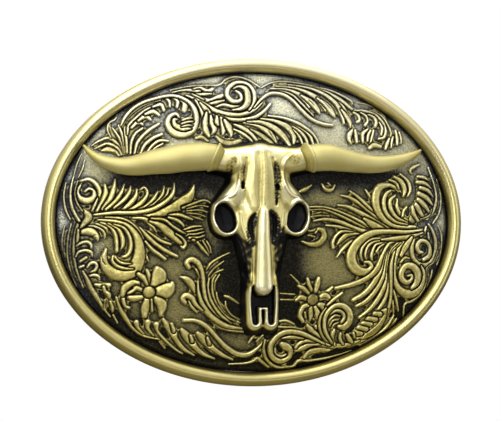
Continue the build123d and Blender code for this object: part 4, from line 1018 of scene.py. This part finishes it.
# where dark patina has stayed on the skull, and with negative amounts painted highlights: (points, how much
# darker, softness of the edge)
SKULL_STAINS_AND_HIGHLIGHTS = [
    ([(-1.9, 0.9, 1.0), (-2.4, -0.6, 1.5), (-2.9, -2.8, 1.6), (-2.7, -5.4, 1.5)], 0.34, 0.7),
    ([(2.1, 1.6, 1.2), (2.7, -0.4, 2.0), (2.9, -2.6, 2.0), (2.9, -5.0, 1.6)], 0.40, 0.7),
    ([(-6.4, 13.2, 1.4), (-7.4, 11.8, 1.6), (-6.8, 10.4, 1.0)], 0.22, 0.8),
    ([(-4.2, 11.8, 0.9), (-4.7, 8.8, 1.3), (-4.2, 6.6, 0.8)], 0.22, 0.6),
    ([(3.2, 12.6, 0.9), (3.6, 9.4, 1.5), (3.4, 5.0, 1.3), (3.0, 3.4, 0.8)], 0.26, 0.7),
    ([(6.2, 14.6, 1.2), (7.6, 13.2, 1.6), (8.6, 14.2, 1.0)], 0.20, 0.7),
    ([(4.9, -2.2, 1.0), (4.2, -4.6, 1.5)], 0.30, 0.7),
    ([(0.3, 14.6, 1.6), (0.3, 9.0, 2.4), (0.2, 4.6, 2.0)], 0.07, 1.0),
    # painted highlights: negative amounts brighten the lower forehead on each side
    ([(-5.6, 8.6, 0.9), (-5.0, 4.4, 1.6), (-3.4, 2.2, 1.4)], -0.16, 0.9),
    ([(5.6, 8.8, 0.9), (5.4, 4.4, 1.4)], -0.14, 0.8),
]


def soft_step(depth, softness):
    """Rises smoothly from 0 at the outline to 1 at the given depth inside it."""
    t = np.clip(depth / softness, 0, 1)
    return t * t * (3 - 2 * t)


def on_side(side, points):
    """A stroke given for the right side, or its mirror image for side -1."""
    return [(side * x, z, width) for x, z, width in points]


def sink(level, window, edge, softness, floor):
    """Lowers what lies inside an outline to a floor, with a soft edge."""
    share = soft_step(-edge, softness)
    level[window] = level[window] * (1 - share) + np.minimum(level[window], floor) * share


def skull_field():
    """The skull's height field: masses, then details, then the openings, then the nasal bone."""
    xs = np.arange(-14, 14 + SKULL_STEP / 2, SKULL_STEP)
    zs = np.arange(-26, 18.5, SKULL_STEP)
    x, z = np.meshgrid(xs, zs)
    level = np.zeros(x.shape)
    masses = MIDDLE_MASSES + [(on_side(side, points), ends, fall)
                              for points, ends, fall in SIDE_MASSES for side in (-1, 1)]
    for points, (start, end), fall in masses:
        window, edge, radius, centre = stroke_distance(xs, zs, points, 2.6)
        a, b = np.array(points[0][:2]), np.array(points[-1][:2])
        along = (x[window] - a[0]) * (b[0] - a[0]) + (z[window] - a[1]) * (b[1] - a[1])
        crest = start + (end - start) * np.clip(along / ((b - a) @ (b - a)), 0, 1)
        outward = np.clip(centre / radius, 0, 1)
        mass = np.where(edge < 0, crest - fall * outward**3, crest - fall - 3.2 * edge)
        level[window] = np.maximum(level[window], mass)
    level = blur(level, 2.2)
    for points, amount, softness in SKULL_DETAILS:
        window, edge, _, _ = stroke_distance(xs, zs, points, 0.1)
        level[window] += amount * soft_step(-edge, softness)
    for side in (-1, 1):
        window, edge, _, centre = stroke_distance(xs, zs, on_side(side, ORBIT), 1.2)
        lip = np.clip(1 - ((edge - 0.42) / 0.5) ** 2, 0, 1)
        outer = np.clip((side * x[window] - 6.4) / 1.6 + np.clip(-0.8 - z[window], 0, 1), 0.15, 1)
        level[window] += 0.34 * lip * outer
        sink(level, window, edge, 0.55, ORBIT_FLOOR + 0.5 * np.clip(centre / 2, 0, 1))
        window, edge, _, _ = stroke_distance(xs, zs, on_side(side, NOSTRIL), 1.0)
        lip = np.clip(1 - ((edge - 0.34) / 0.4) ** 2, 0, 1) * np.clip(-14.5 - z[window], 0, 1)
        level[window] += 0.18 * lip
        sink(level, window, edge, 0.35, np.where(z[window] > -21.5, NOSTRIL_FLOOR, 7.6))
    window, edge, _, _ = stroke_distance(xs, zs, NOSTRIL_LINK, 0.1)
    sink(level, window, edge, 0.35, NOSTRIL_FLOOR)
    window, edge, _, _ = stroke_distance(xs, zs, MUZZLE_NOTCH, 0.1)
    sink(level, window, edge, 0.25, NOTCH_FLOOR)
    window, edge, radius, centre = stroke_distance(xs, zs, NASAL_BONE, 0.1)
    crest = 11.75 - 0.05 * np.clip(-z[window] - 3, 0, 20)
    bone = crest - 0.85 * np.clip(centre / radius, 0, 1) ** 2 - 1.3 * (1 - soft_step(-edge, 0.45))
    level[window] = np.where(edge < 0, np.maximum(level[window], bone), level[window])
    return xs, zs, 0.45 * level + 0.55 * blur(level, 0.95)


def skull_piece():
    """The skull as a closed casting; its tone darkens in the hollows, flanks and stains, and painted
    highlights brighten the forehead's lower sides.
    """
    xs, zs, level = skull_field()
    x, z = np.meshgrid(xs, zs)
    seat = dome_level(x, z)
    near = blur(level, 0.7 / SKULL_STEP)
    wide = blur(level, 2.0 / SKULL_STEP)
    tone = 0.62 + 0.42 * (level - near) + 0.12 * (level - wide) + 0.05 * (level - 10.4)
    flank = np.clip((np.abs(x) - np.maximum(4.6 + (z + 3) * 0.7, 2.1)) / 0.8, 0, 1)
    dark = flank * np.clip((-z - 2.8) / 1.8, 0, 1) * np.clip((z + 16.5) / 1.5, 0, 1)
    dark = dark * (0.85 + 0.35 * np.sin(2.9 * x + 1.7 * np.sin(1.3 * z)) * np.sin(1.9 * z))
    steep = np.hypot(*np.gradient(level, SKULL_STEP))
    sunk = np.clip((9.3 - 0.06 * np.clip(-z - 10, 0, 20) - level) / 1.2, 0, 1)
    # noise that breaks up the patina stains and the painted highlights
    stain_and_highlight_noise = 0.75 + 0.45 * np.sin(4.1 * x + 2 * np.sin(3.3 * z)) * np.sin(3.7 * z + 1.5 * np.sin(2.9 * x))
    # dark patina stains, and painted highlights where the amount is negative
    for points, amount, softness in SKULL_STAINS_AND_HIGHLIGHTS:
        points = [(px, pz, STAIN_AND_HIGHLIGHT_SPREAD * width) for px, pz, width in points]
        window, edge, _, _ = stroke_distance(xs, zs, points, 0.1)
        tone[window] -= 1.9 * amount * soft_step(-edge, softness) * stain_and_highlight_noise[window]
    tone = np.clip(tone - 0.62 * dark - 0.6 * sunk - 0.16 * np.clip(steep - 1.0, 0, 2), 0, 1)
    cells = np.maximum(level[:-1, :-1], level[1:, 1:]) > (seat - 0.1)[:-1, :-1]
    points, faces, walls, shades = block(cells, xs + SKULL_SHIFT, zs, np.maximum(level, seat - ROOT + 0.02),
                                         seat - ROOT, tone)
    make_piece("skull_casting", "steer_skull", points, faces, skull_metal, shades, walls)


# ---------------------------------------------------------------- horns and cuffs
# (x, z, level, radius) along each horn, from the skull outwards
HORNS = {
    "left": [
        (-10.2, 13.9, 9.3, 2.85), (-13.5, 14.1, 9.3, 3.15), (-17.5, 13.9, 9.1, 3.15),
        (-21.0, 13.4, 8.8, 3.05), (-24.8, 12.9, 8.2, 2.72), (-28.2, 12.3, 7.5, 2.3),
        (-31.2, 12.2, 6.8, 1.88), (-34.2, 12.9, 5.9, 1.5), (-36.6, 14.1, 5.1, 1.08),
        (-38.4, 15.6, 4.6, 0.68), (-39.6, 17.1, 4.2, 0.25),
    ],
    "right": [
        (10.2, 13.7, 9.3, 2.8), (12.6, 13.9, 9.3, 3.1), (15.6, 13.9, 9.2, 3.0), (19.2, 13.3, 8.9, 2.6),
        (22.8, 12.8, 8.3, 2.25), (26.6, 12.5, 7.7, 1.98), (30.4, 12.9, 6.8, 1.75), (33.6, 13.7, 5.9, 1.4),
        (36.2, 14.7, 5.2, 0.98), (37.8, 15.5, 4.6, 0.62), (38.9, 16.2, 4.2, 0.25),
    ],
}
# rings of a cuff along its tilted axis: (distance outwards, radius)
CUFF_RINGS = [
    (-1.3, 2.3), (-0.9, 2.62), (-0.35, 2.95), (0.1, 3.32), (0.35, 3.52), (0.6, 3.52), (0.75, 3.36),
    (0.72, 3.1), (0.5, 2.6),
]


def tube(name, node, centres, axes, radii, tones, material, segments=56):
    """A closed tube through rings; its two ends are capped by fans."""
    turn = 2 * np.pi * np.arange(segments) / segments
    rows, shades = [], []
    for centre, axis, radius, tone in zip(centres, axes, radii, tones):
        axis = Vector(axis).normalized()
        side = axis.cross(Vector((0, 0, 1))).normalized()
        up = side.cross(axis)
        for t in turn:
            rows.append(Vector(centre) + (side * math.cos(t) + up * math.sin(t)) * radius)
            shades.append(tone)
    first, last = len(rows), len(rows) + 1
    rows += [Vector(centres[0]), Vector(centres[-1]) + Vector(axes[-1]).normalized() * radii[-1] * 0.6]
    shades += [tones[0], tones[-1]]
    faces = []
    for s in range(segments):
        after = (s + 1) % segments
        faces.append((first, s, after))
        for r in range(len(centres) - 1):
            a, b = r * segments, (r + 1) * segments
            faces.append((a + s, b + s, b + after, a + after))
        end = (len(centres) - 1) * segments
        faces.append((last, end + after, end + s))
    points = [(p.x, -p.y, p.z) for p in rows]
    make_piece(name, node, points, faces, material, shades)


def horn_piece(side):
    """A horn swept along its curve, with faint ripples near its root."""
    path = curve_through(HORNS[side], 8)
    centres = np.stack([path[:, 0], -path[:, 2], path[:, 1]], 1)
    axes = np.gradient(centres, axis=0)
    along = np.linspace(0, 1, len(path))
    radii = path[:, 3] * (1 + 0.006 * np.sin(70 * along) * np.clip(1 - 2.2 * along, 0, 1))
    tones = 0.72 - 0.25 * np.clip((along - 0.75) / 0.25, 0, 1) - 0.35 * np.clip(1 - along / 0.03, 0, 1)
    tube(side + "_horn_cast", side + "_horn", centres, axes, radii, tones, horn_metal)


def cuff_piece(side):
    """The flared ring where a horn meets the skull."""
    sign = -1 if side == "left" else 1
    axis = np.array([sign * 0.90, 0.12, 0.42 if side == "left" else 0.30])
    axis /= np.linalg.norm(axis)
    middle = np.array([sign * 10.55, -9.25, 13.75])
    centres = [middle + axis * along for along, _ in CUFF_RINGS]
    radii = [radius for _, radius in CUFF_RINGS]
    tones = [0.25, 0.4, 0.5, 0.65, 0.85, 0.8, 0.45, 0.12, 0.05]
    tube(side + "_cuff_cast", side + "_horn_cuff", centres, [axis] * len(radii), radii, tones,
         horn_metal, 64)


# ---------------------------------------------------------------- back hardware stays as built
def dress_hardware():
    """Puts the metals on the CAD nodes of the back, which keep their own shapes."""
    slots = {
        back_metal: ("bail", "upper_hinge_lug", "lower_hinge_lug", "hook_base", "hook_post"),
        pin_metal: ("upper_hinge_pin", "lower_hinge_pin", "upper_skull_screw", "lower_skull_screw"),
    }
    for material, names in slots.items():
        for name in names:
            node = frame["nodes"][name]
            node.data.materials.clear()
            node.data.materials.append(material)


# ---------------------------------------------------------------- room, lights, camera
def floor():
    """A pale floor that the metal doesn't mirror."""
    bpy.ops.mesh.primitive_plane_add(size=1.2, location=(0, 0.1, -0.16))
    plane = bpy.context.object
    plane.name = "floor"
    material = bpy.data.materials.new("pale_floor")
    material.use_nodes = True
    shader = material.node_tree.nodes["Principled BSDF"]
    shader.inputs["Base Color"].default_value = (0.82, 0.82, 0.81, 1)
    shader.inputs["Roughness"].default_value = 0.7
    plane.data.materials.append(material)
    plane.visible_glossy = False


def world():
    """White behind the buckle; the metal itself mirrors a softly graded studio."""
    sky = bpy.data.worlds.new("studio")
    bpy.context.scene.world = sky
    sky.use_nodes = True
    nodes, links = sky.node_tree.nodes, sky.node_tree.links
    nodes.clear()
    out = nodes.new("ShaderNodeOutputWorld")
    mix = nodes.new("ShaderNodeMixShader")
    seen = nodes.new("ShaderNodeLightPath")
    white, room = nodes.new("ShaderNodeBackground"), nodes.new("ShaderNodeBackground")
    white.inputs["Color"].default_value = (1, 1, 1, 1)
    white.inputs["Strength"].default_value = 1.0
    place = nodes.new("ShaderNodeTexCoord")
    split = nodes.new("ShaderNodeSeparateXYZ")
    shade = nodes.new("ShaderNodeMapRange")
    shade.inputs["From Min"].default_value = -1.0
    ramp = nodes.new("ShaderNodeValToRGB")
    ramp_stops(ramp, [(0.0, (0.30, 0.26, 0.14)), (0.36, (0.10, 0.088, 0.05)), (0.47, (0.27, 0.255, 0.19)),
                      (0.58, (0.50, 0.50, 0.50)), (0.80, (1.1, 1.1, 1.1))])
    links.new(place.outputs["Generated"], split.inputs[0])
    links.new(split.outputs["Z"], shade.inputs["Value"])
    links.new(shade.outputs["Result"], ramp.inputs["Fac"])
    links.new(ramp.outputs["Color"], room.inputs["Color"])
    room.inputs["Strength"].default_value = 0.9
    links.new(seen.outputs["Is Camera Ray"], mix.inputs["Fac"])
    links.new(room.outputs[0], mix.inputs[1])
    links.new(white.outputs[0], mix.inputs[2])
    links.new(mix.outputs[0], out.inputs["Surface"])


# name, place, (width, height), watts, colour
LAMPS = [
    ("key", (-0.25, -0.55, 0.55), (0.5, 0.4), 1.55, (1, 1, 1)),
    ("top", (0.05, -0.10, 0.60), (0.9, 0.5), 2.2, (1, 1, 1)),
    ("front", (-0.24, -0.90, 0.16), (0.45, 0.45), 2.2, (1, 1, 1)),
    ("left_fill", (-0.60, -0.35, 0.05), (0.25, 0.6), 0.45, (1, 1, 1)),
    ("right_fill", (0.60, -0.40, 0.0), (0.2, 0.6), 0.6, (1, 1, 1)),
    ("low_fill", (0.0, -0.50, -0.30), (0.6, 0.15), 0.28, (1.0, 0.95, 0.85)),
    ("back_fill", (0.1, 0.7, 0.3), (0.6, 0.6), 2.6, (1, 1, 1)),
]


def softbox(name, where, size, power, colour):
    """A rectangular lamp that points at the buckle."""
    lamp = bpy.data.lights.new(name, "AREA")
    lamp.shape = "RECTANGLE"
    lamp.size, lamp.size_y = size
    lamp.energy = power
    lamp.color = colour
    holder = bpy.data.objects.new(name, lamp)
    holder.location = where
    holder.rotation_euler = (Vector((0, 0, 0)) - Vector(where)).to_track_quat("-Z", "Y").to_euler()
    bpy.context.scene.collection.objects.link(holder)


def camera():
    """Looks along +Y from a little to the left and a little below, tilted by about a degree."""
    azimuth, elevation, roll = (math.radians(a) for a in (-12.0, -4.0, -1.0953))
    target = Vector((-0.000985, 0, 0.002634))
    distance = 0.430
    away = Vector((math.sin(azimuth) * math.cos(elevation), -math.cos(azimuth) * math.cos(elevation),
                   math.sin(elevation)))
    right = (-away).cross(Vector((0, 0, 1))).normalized()
    up = right.cross(-away)
    across = right * math.cos(roll) + up * math.sin(roll)
    over = up * math.cos(roll) - right * math.sin(roll)
    lens = bpy.data.cameras.new("camera")
    lens.lens = 135.08
    lens.sensor_width = 36.0
    lens.sensor_fit = "HORIZONTAL"
    lens.clip_start, lens.clip_end = 0.01, 20
    holder = bpy.data.objects.new("camera", lens)
    bpy.context.scene.collection.objects.link(holder)
    holder.matrix_world = Matrix.LocRotScale(target + away * distance,
                                             Matrix((across, over, away)).transposed().to_quaternion(), None)
    bpy.context.scene.camera = holder


xs, zs, height = relief_pieces()
ground_piece(xs, zs, height)
rim_piece()
skull_piece()
for side in ("left", "right"):
    horn_piece(side)
    cuff_piece(side)
dress_hardware()
floor()
world()
for lamp in LAMPS:
    softbox(*lamp)
bpy.context.scene.view_settings.view_transform = "Standard"
camera()
